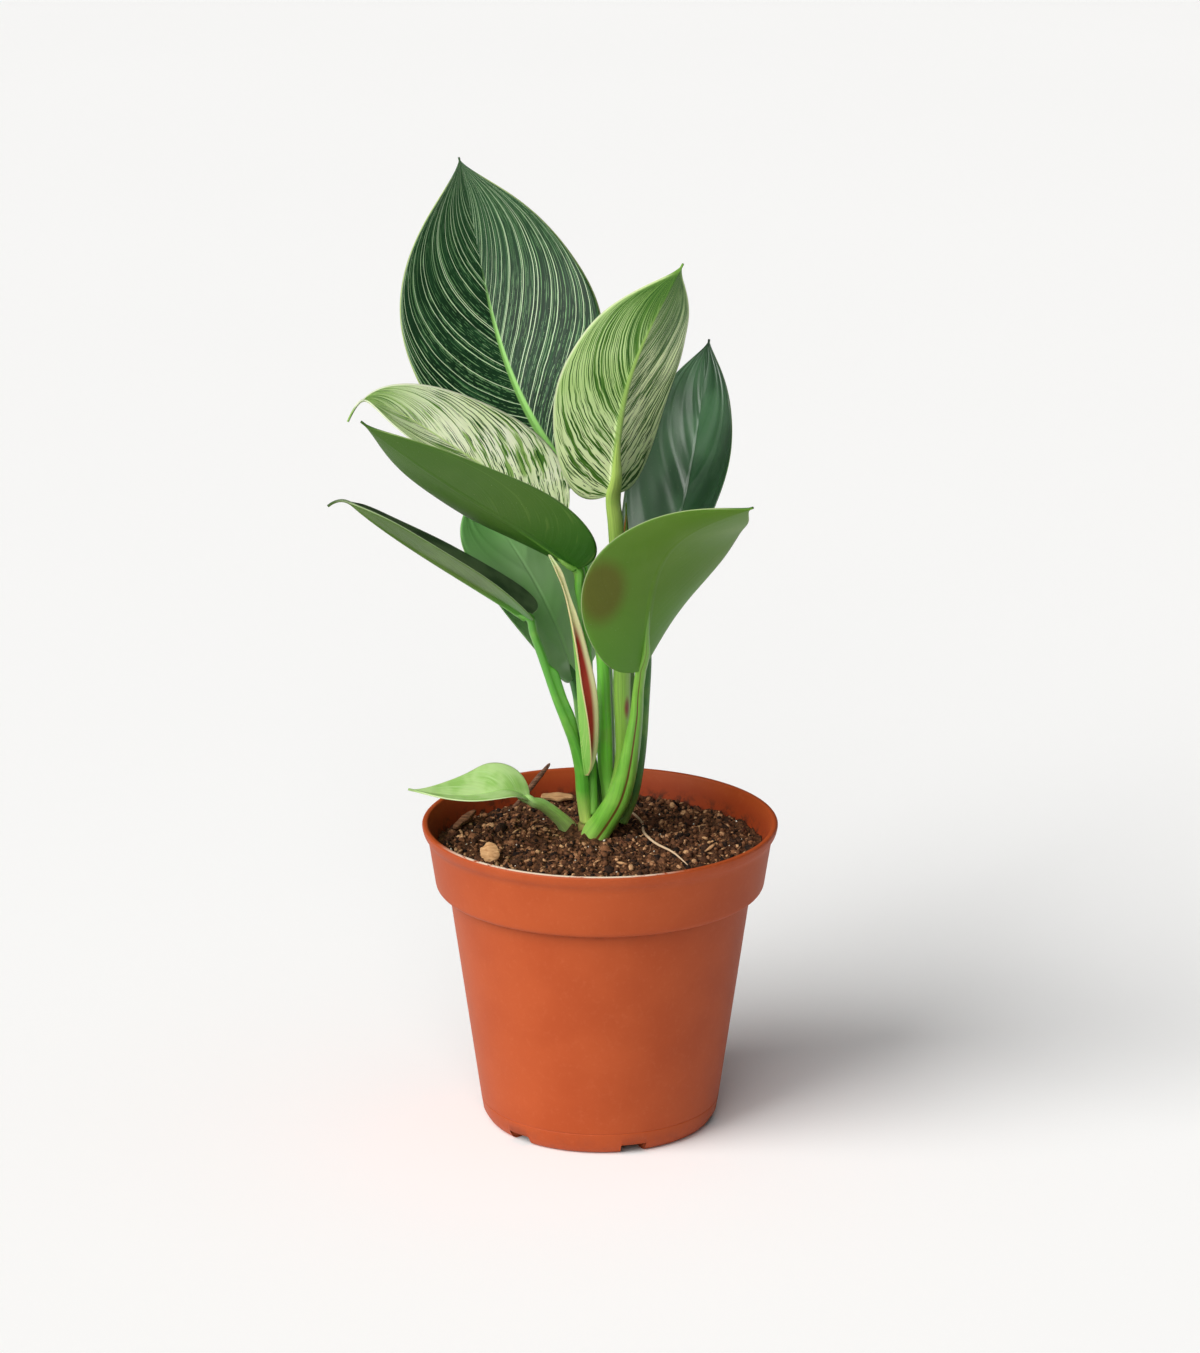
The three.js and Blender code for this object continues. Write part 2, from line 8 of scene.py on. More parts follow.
import bpy
import numpy as np
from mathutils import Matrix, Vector


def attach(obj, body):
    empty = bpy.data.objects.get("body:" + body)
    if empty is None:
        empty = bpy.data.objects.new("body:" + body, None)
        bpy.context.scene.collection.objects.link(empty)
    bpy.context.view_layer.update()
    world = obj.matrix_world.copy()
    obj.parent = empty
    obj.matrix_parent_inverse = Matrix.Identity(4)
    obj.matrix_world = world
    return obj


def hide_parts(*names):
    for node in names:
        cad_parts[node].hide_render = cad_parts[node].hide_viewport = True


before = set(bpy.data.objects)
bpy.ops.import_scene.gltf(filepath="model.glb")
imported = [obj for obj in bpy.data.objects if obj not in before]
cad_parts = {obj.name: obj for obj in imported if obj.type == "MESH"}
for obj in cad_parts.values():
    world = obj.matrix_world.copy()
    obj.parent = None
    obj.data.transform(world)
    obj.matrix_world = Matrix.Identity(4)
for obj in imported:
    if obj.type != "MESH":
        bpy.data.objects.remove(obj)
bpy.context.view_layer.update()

MM = 0.001
GREEN_TISSUE = 0.12  # share of light that leaf tissue lets wander inside it


# ---- camera, floor and lights -------------------------------------------------------------------
CAMERA = {"distance": 1300, "elevation": 16.5, "target": (0, 0, 136), "lens": 118.64, "sensor": 36}
# Each soft light: azimuth (0 in front, 90 at the right), elevation, angle that it fills, strength, colour.
LIGHTS = {
    "key": (-56, 36, 45, 2.9, (1.0, 0.99, 0.97)),
    "front": (-16, 36, 45, 1.25, (1.0, 1.0, 0.99)),
    "top": (0, 86, 60, 0.45, (1.0, 1.0, 1.0)),
    "right": (85, 20, 50, 0.05, (0.98, 0.99, 1.0)),
}
SKY = {"colour": (0.97, 0.98, 1.0, 1), "strength": 0.03}


def polar(azimuth, elevation, distance):
    """A point at that distance from the target: azimuth 0 is in front (-Y), 90 at the right."""
    turn, rise = math.radians(azimuth), math.radians(elevation)
    flat = distance * math.cos(rise)
    x, y, z = CAMERA["target"]
    return (x + flat * math.sin(turn), y - flat * math.cos(turn), z + distance * math.sin(rise))


def aim(thing, place):
    """Puts a camera or light at place, in millimetres, looking at the target."""
    here = Vector(place) * MM
    thing.location = here
    thing.rotation_euler = (Vector(CAMERA["target"]) * MM - here).to_track_quat("-Z", "Y").to_euler()
    bpy.context.scene.collection.objects.link(thing)


def make_camera():
    """The camera in front of the plant, a little above it."""
    data = bpy.data.cameras.new("camera")
    data.sensor_fit = "VERTICAL"
    data.sensor_height = CAMERA["sensor"]
    data.lens = CAMERA["lens"]
    camera = bpy.data.objects.new("camera", data)
    aim(camera, polar(0, CAMERA["elevation"], CAMERA["distance"]))
    bpy.context.scene.camera = camera


def make_lights():
    """A soft sun for each entry of LIGHTS, and an even sky."""
    for name, (azimuth, elevation, spread, strength, colour) in LIGHTS.items():
        data = bpy.data.lights.new(name, "SUN")
        data.angle = math.radians(spread)
        data.energy = strength
        data.color = colour
        aim(bpy.data.objects.new(name, data), polar(azimuth, elevation, CAMERA["distance"]))
    world = bpy.data.worlds.new("studio")
    world.use_nodes = True
    background = world.node_tree.nodes["Background"]
    background.inputs["Color"].default_value = SKY["colour"]
    background.inputs["Strength"].default_value = SKY["strength"]
    bpy.context.scene.world = world
    bpy.context.scene.view_settings.view_transform = "Standard"


# ---- arrays and meshes --------------------------------------------------------------------------
def unit(vectors):
    """Vectors scaled to length 1."""
    return vectors / np.maximum(np.linalg.norm(vectors, axis=-1, keepdims=True), 1e-12)


def square_to(vectors, axis):
    """The part of each vector at right angles to its axis, at length 1."""
    return unit(vectors - np.sum(vectors * axis, -1, keepdims=True) * axis)


def smooth(low, high, x):
    """0 below low, 1 above high, and 3t^2 - 2t^3 between them."""
    t = np.clip((np.asarray(x, float) - low) / (high - low), 0, 1)
    return t * t * (3 - 2 * t)


def angles(sides):
    """The angles of an even turn."""
    return np.linspace(0, 2 * np.pi, sides, endpoint=False)


def turned(radius, height, turn, axis=(0, 0)):
    """Rings about an upright axis: a profile's radii and heights, carried round by those angles."""
    radius, height = np.asarray(radius)[:, None], np.asarray(height)[:, None]
    return np.stack([axis[0] + radius * np.cos(turn), axis[1] + radius * np.sin(turn), height + 0 * turn], -1)


def turn_about(axis, angle):
    """Rotation matrices about unit axes: cos * I + (1 - cos) * a a^T + sin * [a]x, the cross product by a."""
    axis, angle = np.asarray(axis, float), np.asarray(angle)[..., None, None]
    across = np.cross(np.eye(3), axis[..., None, :])
    along = axis[..., :, None] * axis[..., None, :]
    return np.cos(angle) * np.eye(3) + (1 - np.cos(angle)) * along + np.sin(angle) * across


def lumps(points, size, seed):
    """Lattice noise, -1 to 1: random numbers at the corners of cubes of that size, blended by smooth()."""
    cell = np.asarray(points, float) / size
    low = np.floor(cell).astype(np.int64)
    part = smooth(0, 1, cell - low)
    total = np.zeros(cell.shape[:-1])
    for corner in np.ndindex(2, 2, 2):
        key = (low + corner) @ np.array([73856093, 19349663, 83492791]) + seed * 40503
        key = (key ^ (key >> 13)) * 1274126177 & 0xFFFFFFFF
        key = (key ^ (key >> 16)) & 0xFFFF
        weight = np.prod(np.where(np.array(corner) == 1, part, 1 - part), axis=-1)
        total += weight * key / 0xFFFF
    return 2 * total - 1


def ring_faces(rings, sides):
    """Faces of a skin over rings of points that run round the way forward: quads, and triangles to a pole
    at each end, whose points follow the rings' own."""
    i = np.arange(rings - 1)[:, None] * sides
    j = np.arange(sides)[None, :]
    k = (j + 1) % sides
    quads = np.stack([i + j, i + k, i + k + sides, i + j + sides], -1).reshape(-1, 4)
    j, k = j.ravel(), k.ravel()
    last = (rings - 1) * sides
    first_pole = np.full(sides, rings * sides)
    head = np.stack([first_pole, k, j], -1)
    tail = np.stack([first_pole + 1, last + j, last + k], -1)
    return [quads, head, tail]


def make_mesh(name, points, faces, values=None, slot=None, stands_for=()):
    """One smooth piece from points in millimetres, arrays of faces, and named numbers for each point."""
    mesh = bpy.data.meshes.new(name)
    points = np.asarray(points, float).reshape(-1, 3)
    corners = np.concatenate([np.full(len(f), f.shape[1]) for f in faces])
    mesh.vertices.add(len(points))
    mesh.vertices.foreach_set("co", (points * MM).ravel())
    mesh.loops.add(int(corners.sum()))
    mesh.loops.foreach_set("vertex_index", np.concatenate([f.ravel() for f in faces]).astype(np.int32))
    mesh.polygons.add(len(corners))
    mesh.polygons.foreach_set("loop_start", np.concatenate([[0], np.cumsum(corners)[:-1]]).astype(np.int32))
    mesh.update(calc_edges=True)
    mesh.polygons.foreach_set("use_smooth", np.ones(len(corners), bool))
    for key, numbers in (values or {}).items():
        attribute = mesh.attributes.new(key, "FLOAT", "POINT")
        attribute.data.foreach_set("value", np.asarray(numbers, np.float32).ravel())
    piece = bpy.data.objects.new(name, mesh)
    bpy.context.scene.collection.objects.link(piece)
    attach(piece, "root")
    if stands_for:
        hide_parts(*stands_for)
    return piece


def skin(name, rings, values=None, **how):
    """A closed piece over an array of rings (count, sides, 3), each run round the way forward. Each end
    gets a pole at the middle of its ring."""
    count, sides = rings.shape[:2]
    poles = np.stack([rings[0].mean(0), rings[-1].mean(0)])
    points = np.concatenate([rings.reshape(-1, 3), poles])
    numbers = {}
    for key, value in (values or {}).items():
        value = np.broadcast_to(value, (count, sides))
        numbers[key] = np.concatenate([value.ravel(), [value[0].mean(), value[-1].mean()]])
    return make_mesh(name, points, ring_faces(count, sides), numbers, **how)


def smooth_path(points, count):
    """Centripetal Catmull-Rom curve through the points, at count places an equal length apart: each
    stretch is a Hermite cubic whose end slopes weigh its neighbours by the square roots of their
    distances. Columns after the third are carried along the curve in the same way."""
    points = np.asarray(points, float)
    points = np.concatenate([[2 * points[0] - points[1]], points, [2 * points[-1] - points[-2]]])
    steps = np.linalg.norm(np.diff(points[:, :3], axis=0), axis=1) ** 0.5
    t = np.linspace(0, 1, 41)[:, None]
    parts = []
    for k in range(1, len(points) - 2):
        a, b, c, d = points[k - 1:k + 3]
        before, here, after = steps[k - 1:k + 2]
        leave = ((b - a) / before - (c - a) / (before + here) + (c - b) / here) * here
        arrive = ((c - b) / here - (d - b) / (here + after) + (d - c) / after) * here
        parts.append((2 * t**3 - 3 * t**2 + 1) * b + (t**3 - 2 * t**2 + t) * leave
                     + (3 * t**2 - 2 * t**3) * c + (t**3 - t**2) * arrive)
    dense = np.concatenate(parts)
    length = np.concatenate([[0], np.cumsum(np.linalg.norm(np.diff(dense[:, :3], axis=0), axis=1))])
    even = np.linspace(0, length[-1], count)
    return np.stack([np.interp(even, length, column) for column in dense.T], -1)


def directions(path):
    """The unit direction of a path at each of its points."""
    return unit(np.gradient(path, axis=0))


# ---- leaf blades --------------------------------------------------------------------------------
# How every blade and sheath is made: counts, lengths in mm, powers, and shares of the length or half-width.
BLADE = {
    "rows": 150, "columns": 97, "mid_thickness": 0.8, "margin_thickness": 0.5, "rib_half_width": 1.45,
    "rib_depth": 1.7, "groove_depth": 0.45, "base_half_width": 1.7, "tip_half_width": 0.3, "tip_reach": 0.06,
    "lobe_reach": 3.8, "lobe_power": 6, "full_rib_width": 40, "end_share": 0.055, "vein_gap": 3.1,
    "lean_half_width": 3, "lean_at": 0.06, "spacing": (0.55, 0.45), "margin_power": 20, "vein_limit": 0.985,
    "ridge_power": 1.3, "rib_taper": 0.75, "groove_share": 0.5, "wave_shift": 0.3,
    "quilt_in": (0.02, 0.2), "quilt_out": (1.0, 0.85), "quilt_end": (1.0, 0.8), "full_quilt_width": 30,
}
# What shapes each leaf:
#   rib      its midrib from base to tip, as the four points of a cubic Bezier curve
#   width    the full width
#   faces    the directions that the upper side faces at base and tip
#   fold     the angles at which the left and right halves leave the midrib, in degrees
#   curl     the angles by which they turn on their way to the margin, in degrees
#   outline  the outline's powers at base and tip
#   share    the right half's width over half the full width; the left half has 2 - share
#   lobe     how far the basal lobes reach back, in BLADE's lobe_reach
#   quilt    the height of the quilting between veins
#   wave     the margin's waves: height, count and start
#   tail     a thin tip: its share of the length, the share over which the midrib bends, and the bend
#   veins    (steep, sweep) of the left and right halves
#   ridge    the share of the usual midrib that stands under the blade
#   soft     how much the fold is rounded
#   hood     a wider part: its place, spread and extra half-width
# PLAIN_LEAF holds what a leaf has where its own entry says nothing else.
PLAIN_LEAF = dict(
    share=1.0, lobe=0.0, quilt=0.0, tail=(0.0, 0.1, (0, 0, 0)), veins=((0.055, 0.61), (0.055, 0.61)),
    ridge=1.0, soft=0.0, hood=(1, 1, 0))
LEAVES = {
    "striped_leaf": dict(
        PLAIN_LEAF,
        rib=[(-10, 14, 194), (-32, 18, 223), (-32, 39, 240), (-41, 38, 282)],
        width=61.5, faces=[(0.27, -0.89, 0.31), (0.12, -0.89, 0.32)], fold=(14, 13), curl=(8, 8),
        outline=(0.63, 0.71), lobe=3.0, quilt=0.06, wave=(0.5, 2.2, 0.1),
        veins=((0.055, 0.61), (0.15, 1.2))),
    "pale_upright_leaf": dict(
        PLAIN_LEAF,
        rib=[(3.9, -4, 192.1), (5.2, -12, 227), (9.8, -18, 236), (23, -30, 264)],
        width=45, faces=[(-0.53, 0.76, 0.1), (-0.29, 0.82, 0.31)], fold=(21, 31), curl=(8, 7),
        outline=(0.42, 0.83), share=0.86, lobe=3.0, quilt=0.04, wave=(0.3, 2.6, 0.4),
        veins=((0.1, 0.8), (0.12, 0.9)), ridge=0.5),
    "pale_arching_leaf": dict(
        PLAIN_LEAF,
        rib=[(-9.6, -2, 184.5), (-33.7, -7.3, 197.7), (-68.5, -7.8, 229.9), (-69.1, -10.9, 218.2)],
        width=36.7, faces=[(0.11, -0.53, 0.75), (-0.33, -0.65, 0.52)], fold=(34, 8), curl=(12, 8),
        outline=(0.42, 1.14), quilt=0.05, wave=(0.3, 2.4, 0.7),
        tail=(0.1, 0.13, (-2.5, 0, -3.5))),
    "left_front_leaf": dict(
        PLAIN_LEAF,
        rib=[(-7, -16, 173), (-21, -21, 187), (-41, -38, 200), (-66, -46, 223)],
        width=42.5, faces=[(-0.07, 0.26, 0.87), (-0.18, 0.48, 0.82)], fold=(4, 14), curl=(3, 5),
        outline=(0.49, 0.91), share=1.02, lobe=0.7, quilt=0.012, wave=(0.3, 1.8, 0.2),
        ridge=0.6, soft=0.3),
    "right_front_leaf": dict(
        PLAIN_LEAF,
        rib=[(11.8, -12.6, 141.8), (15.5, -21.3, 175.4), (13.3, -21.4, 182.9), (42.3, -50.8, 199.7)],
        width=53, faces=[(-0.23, -0.03, 0.75), (-0.13, 0.57, 0.56)], fold=(4, 8), curl=(5, 6),
        outline=(0.33, 0.67), share=0.87, lobe=-1.2, quilt=0.01, wave=(0.2, 1.7, 0.5),
        ridge=0.2, soft=0.35),
    "left_folded_leaf": dict(
        PLAIN_LEAF,
        rib=[(-21.1, -3.7, 155.2), (-35.3, -2, 164.4), (-67.9, -13.1, 185.2), (-75.5, -13.5, 196.5)],
        width=32.9, faces=[(-0.08, 0, 0.94), (0.1, 0.12, 0.94)], fold=(16, 17), curl=(2, 3),
        outline=(0.4, 0.63), share=1.02, lobe=1.8, quilt=0.02, wave=(0.12, 2.3, 0.3),
        tail=(0.12, 0.156, (-2.1, -0.3, -5.8))),
    "right_back_leaf": dict(
        PLAIN_LEAF,
        rib=[(15, 14, 152), (26, 20, 180), (29, 29, 200), (32, 34, 229)],
        width=46, faces=[(-0.82, -0.46, 0.28), (-0.5, -0.77, 0.3)], fold=(9, 17), curl=(5, 7),
        outline=(0.54, 0.75), share=1.02, lobe=3.0, wave=(0.4, 2.0, 0.6),
        soft=0.5),
    "left_back_leaf": dict(
        PLAIN_LEAF,
        rib=[(-8, 20, 130), (-13, 21, 150), (-24, 27, 167), (-38, 38, 182)],
        width=45.6, faces=[(0.68, -0.6, 0.42), (0.19, -0.71, 0.35)], fold=(21, 1), curl=(9, 5),
        outline=(0.62, 0.61), share=0.96, lobe=2.4, wave=(0.3, 1.9, 0.8),
        soft=0.4),
    "small_leaf": dict(
        PLAIN_LEAF,
        rib=[(-21, -2, 99), (-31, -4, 107), (-29, -6, 97), (-56, -8, 104)],
        width=20.6, faces=[(0.13, -0.36, 0.9), (-0.1, -0.34, 0.91)], fold=(25, 16), curl=(6, 4),
        outline=(0.58, 0.82), quilt=0.03, wave=(0.1, 1.5, 0.2)),
    "front_sheath": dict(
        PLAIN_LEAF,
        rib=[(-3.8, 1.5, 105.4), (-7.6, -3, 129.7), (-4.6, -12, 159.5), (-14.5, -19, 177.7)],
        width=10.5, faces=[(0.97, -0.22, 0.1), (0.25, -0.96, 0.12)], fold=(48, 48), curl=(10, 10),
        outline=(0.6, 1.8), share=1.05, wave=(0.15, 3.0, 0.2), hood=(0.9, 0.09, 1.0)),
    "back_sheath": dict(
        PLAIN_LEAF,
        rib=[(8.4, 5.2, 95), (8.8, 6.6, 127), (8.4, 4, 160), (7.5, 1.4, 187.8)],
        width=7, faces=[(-0.3, 0.9, 0.1), (-0.3, 0.9, 0.1)], fold=(40, 40), curl=(10, 10),
        outline=(0.3, 0.7), wave=(0.1, 3.0, 0.6)),
}


def outline_at(u, powers):
    """Half-width along a blade before scaling: u^p (1-u)^q (1 - exp((u-1) / reach)), down to a drip tip."""
    return u ** powers[0] * (1 - u) ** powers[1] * (1 - np.exp((u - 1) / BLADE["tip_reach"]))


def rib_frame(leaf, u):
    """Place, direction, upper side and right side at shares u of the midrib: a cubic Bezier curve whose
    tail is moved by the bend times the square of the way along it, with the blended facing squared to its
    direction."""
    p = np.array(leaf["rib"], float)
    t = np.asarray(u, float)[:, None]
    place = (1 - t) ** 3 * p[0] + 3 * (1 - t) ** 2 * t * p[1] + 3 * (1 - t) * t**2 * p[2] + t**3 * p[3]
    slope = 3 * ((1 - t) ** 2 * (p[1] - p[0]) + 2 * (1 - t) * t * (p[2] - p[1]) + t**2 * (p[3] - p[2]))
    _, reach, bend = leaf["tail"]
    bent = np.maximum(0, (t - 1 + reach) / reach)
    place = place + bent**2 * np.array(bend)
    along = unit(slope + 2 * bent / reach * np.array(bend))
    faces = np.array(leaf["faces"], float)
    up = square_to((1 - t) * faces[0] + t * faces[1], along)
    return place, along, up, np.cross(along, up)


def blade_rings(leaf, rows=BLADE["rows"], columns=BLADE["columns"]):
    """Rings round a blade, row by row from base to tip, and the numbers that their points carry. A row's
    middle line leaves the midrib at the fold angle and turns by the curl angle on its way to the margin. The
    two faces stand off it by half the thickness, which shrinks to nothing at the margin, so each ring runs
    over the upper face and back under the lower one. A vein that leaves the midrib at c has got to
    u = c + (steep + sweep * c) * -ln(1 - out) where it is out. A hood adds
    extra * exp(-((u - at) / spread)^2) to the half-width."""
    u = (1 - np.cos(np.pi * np.linspace(0, 1, rows))) / 2
    t = np.linspace(-1, 1, columns)
    even, outer = BLADE["spacing"]
    v = (even * t + outer * t**3)[None, :]
    place, along, up, right = (a[:, None, :] for a in rib_frame(leaf, u))
    u = u[:, None]
    grid = np.linspace(0.002, 0.998, 499)
    body = np.minimum(0.9999, u / (1 - leaf["tail"][0]))
    swell = outline_at(body, leaf["outline"]) / outline_at(grid, leaf["outline"]).max()
    least = BLADE["base_half_width"] + (BLADE["tip_half_width"] - BLADE["base_half_width"]) * u
    half = np.maximum(leaf["width"] / 2 * swell, np.minimum(least, leaf["width"] * BLADE["end_share"]))
    at, spread, extra = leaf["hood"]
    half = half + extra * np.exp(-((u - at) / spread) ** 2)
    length = np.linalg.norm(np.diff(place[:, 0], axis=0), axis=1).sum()
    out = np.abs(v)
    fold, curl = (np.radians(np.where(v < 0, *leaf[key])) for key in ("fold", "curl"))
    reach = half * np.where(v < 0, 2 - leaf["share"], leaf["share"])
    across = reach * (np.sin(fold + curl * out) - np.sin(fold)) / curl
    rise = reach * (np.cos(fold) - np.cos(fold + curl * out)) / curl
    soft = leaf["soft"]
    rise = rise * out / np.maximum(out + soft * (1 - out), 1e-9)
    back = BLADE["lobe_reach"] * leaf["lobe"] * swell * (1 - u) ** BLADE["lobe_power"] * out**2
    height, count, start = leaf["wave"]
    phase = count * u + start + BLADE["wave_shift"] * (v < 0)
    rise = rise + height * out**2 * np.sin(2 * np.pi * phase) * np.sin(np.pi * u)
    lag = -np.log(1 - BLADE["vein_limit"] * out)
    steep, sweep = (np.where(v < 0, *sides) for sides in zip(*leaf["veins"]))
    vein = length * (u - steep * lag) / (1 + sweep * lag)
    fade = smooth(*BLADE["quilt_in"], out) * smooth(*BLADE["quilt_out"], out) * smooth(*BLADE["quilt_end"], u)
    quilt = leaf["quilt"] * min(1, leaf["width"] / BLADE["full_quilt_width"])
    rise = rise + quilt * fade * np.cos(2 * np.pi * vein / BLADE["vein_gap"])
    lean = fold + curl * out
    lean = lean * smooth(0, BLADE["lean_at"] + soft, out) * np.minimum(1, half / BLADE["lean_half_width"])
    sign = np.sign(v)
    middle = place + right * (sign * across)[..., None] + up * rise[..., None] - along * back[..., None]
    normal = unit(up * np.cos(lean)[..., None] - right * (sign * np.sin(lean))[..., None])
    thick = BLADE["mid_thickness"] + (BLADE["margin_thickness"] - BLADE["mid_thickness"]) * out
    thick = thick / 2 * np.sqrt(1 - out ** BLADE["margin_power"]) * np.ones_like(u)
    rib_size = np.minimum(1, leaf["width"] / BLADE["full_rib_width"])
    rib_depth = BLADE["rib_depth"] * leaf["ridge"]
    from_rib = reach * out
    rib_half = BLADE["rib_half_width"] * (1 - BLADE["rib_taper"] * u) * rib_size
    bulge = np.sqrt(np.clip(1 - (from_rib / rib_half) ** 2, 0, 1))
    ridge = rib_depth * (1 - u) ** BLADE["ridge_power"] * rib_size * bulge
    in_groove = np.exp(-((from_rib / (BLADE["groove_share"] * rib_half)) ** 2))
    groove = BLADE["groove_depth"] * (1 - u) * rib_size * in_groove
    upper = middle + normal * (thick - groove)[..., None]
    lower = middle - normal * (thick + ridge)[..., None]
    rings = np.concatenate([upper, lower[:, -2:0:-1]], axis=1)

    def round_ring(value):
        """The same number on the upper and the lower face."""
        value = np.broadcast_to(value, (rows, columns))
        return np.concatenate([value, value[:, -2:0:-1]], axis=1)

    face = np.concatenate([np.ones(columns), np.zeros(columns - 2)])
    face[[0, columns - 1]] = 0.5
    values = {
        "along": round_ring(u), "across": round_ring(v), "vein": round_ring(vein),
        "rib": round_ring(from_rib), "margin": round_ring(reach - from_rib), "face": np.tile(face, (rows, 1)),
    }
    return rings, values


# ---- stalks -------------------------------------------------------------------------------------
# How every stalk is made: counts, angles, and shares of the width, of the midrib or of the stalk.
STALK = {
    "sides": 40, "rows": 110, "flatness": 0.8, "tuck": 0.26, "tuck_rows": 9, "end": 0.2, "sink": 0.375,
    "sunk_at": 0.06, "top_at": 0.8, "groove_angle": 0.35, "mark_angle": 0.3, "ribs": 9, "rib_height": 0.012,
    "wing_end": 0.04,
}
CROWN_AXIS = (-0.5, 8)
# What shapes each stalk:
#   path       its way from the crown, as x, y, z and width
#   top        its width under the blade
#   lead       the length that runs in line with the blade
#   groove_to  the way that its groove faces, as x and y
#   groove     the groove's depth at foot and top, as shares of the radius
#   wing       a thin edge on the groove's side: its reach, and the shares of the stalk that it spans
STALKS = {
    "striped_leaf": dict(
        path=[(2.7, 9.5, 92.5, 4.4), (2.4, 9.5, 99.4, 5.4), (1.9, 9.3, 106.3, 6.4),
              (1.8, 8.8, 115.4, 6.5), (1.6, 8.5, 126.3, 6.2), (1.2, 8.3, 138, 5.6), (-0.6, 9, 149.1, 5),
              (-5, 10.5, 163.8, 4.4), (-9.9, 12.5, 178.4, 3.8), (-11.6, 13.5, 186.2, 3.6)],
        top=3.6, lead=2, groove_to=(0.9, -0.5), groove=(0.1, 0.25)),
    "pale_upright_leaf": dict(
        path=[(2.4, 5.2, 92.7, 5.2), (4.8, 4.6, 100.4, 4.8), (6.3, 3.6, 108.7, 4.4), (6.6, 2.4, 120.5, 5),
              (6.4, 1.4, 131.5, 5.5), (6.4, 0.4, 145.4, 5.3), (5.8, -0.8, 159.4, 5.1),
              (5.1, -2, 171.7, 4.9), (4.5, -3, 182.4, 4.8)],
        top=4.6, lead=3, groove_to=(-0.5, 0.9), groove=(0.2, 0.2)),
    "pale_arching_leaf": dict(
        path=[(-3, 11.2, 92, 4.6), (-3.6, 11.4, 106.9, 4.6), (-3.8, 10.4, 125.7, 4.4),
              (-4.1, 8, 141.7, 4.2), (-5, 5, 157.8, 4), (-6.7, 2.2, 170.6, 3.8), (-8.2, 0.2, 178.4, 3.6)],
        top=3.6, lead=2, groove_to=(0.2, -1), groove=(0.2, 0.2)),
    "left_front_leaf": dict(
        path=[(-2.7, 6.4, 92.3, 4.6), (-2.9, 5.6, 105.6, 4.4), (-3.2, 4.4, 116.8, 4.2),
              (-3.5, 1.5, 128.4, 4), (-3.9, -4, 143.7, 3.6), (-4.9, -10, 158.3, 3.2), (-6, -14, 166.9, 3)],
        top=3.2, lead=1.5, groove_to=(-0.1, 1), groove=(0.2, 0.2)),
    "right_front_leaf": dict(
        path=[(-3.5, 3.6, 82.7, 5.6), (-1.8, 1.8, 86.4, 8), (1.5, -0.3, 92, 8), (5.1, -2.2, 98.9, 7.8),
              (7.2, -3.6, 105.5, 7.2), (8.5, -4.8, 112, 6.8), (9.6, -6, 119.1, 6),
              (10.6, -7.6, 126.6, 4.8), (11, -9.8, 134, 4)],
        top=3.8, lead=2, groove_to=(0.1, -1), groove=(0.14, 0.1)),
    "left_folded_leaf": dict(
        path=[(-4.1, 6.2, 89.3, 4.4), (-4.4, 6, 93.1, 5), (-4.9, 5.2, 98.9, 5.4), (-5.4, 4, 106.1, 5.2),
              (-7.3, 2.6, 114.9, 4.6), (-10, 1.4, 122.3, 4), (-12.6, 0.4, 129.3, 3.6),
              (-14.9, -0.8, 136.7, 3.5), (-17.4, -2.2, 144.7, 3.4), (-19.3, -3.2, 150.6, 3.3)],
        top=3.2, lead=1.2, groove_to=(1, -0.25), groove=(0.2, 0.1), wing=(2.0, 0.34, 0.72)),
    "right_back_leaf": dict(
        path=[(6.5, 9.4, 88.2, 4.2), (9.5, 10, 95.8, 4.4), (11.2, 10.6, 104, 4.2),
              (12.3, 11.2, 113.1, 4), (13, 12, 123.7, 3.8), (13.7, 13, 137.2, 3.6)],
        top=3.4, lead=4, groove_to=(-1, -0.4), groove=(0.3, 0.2)),
    "left_back_leaf": dict(
        path=[(-0.4, 13.6, 89, 4.4), (-2.6, 16, 104, 4), (-5.6, 18.6, 118, 3.6)],
        top=3.4, lead=6, groove_to=(0.6, -0.7), groove=(0.3, 0.2)),
    "small_leaf": dict(
        path=[(-6.6, 13.5, 80.6, 5.6), (-9.5, 10.8, 85.9, 5.6), (-11.8, 8, 89.6, 4.6),
              (-14.8, 4.5, 93.5, 4.2), (-17.4, 1.2, 96.4, 3.8)],
        top=3.2, lead=1.5, groove_to=(0, -1), groove=(0.04, 0.08)),
}


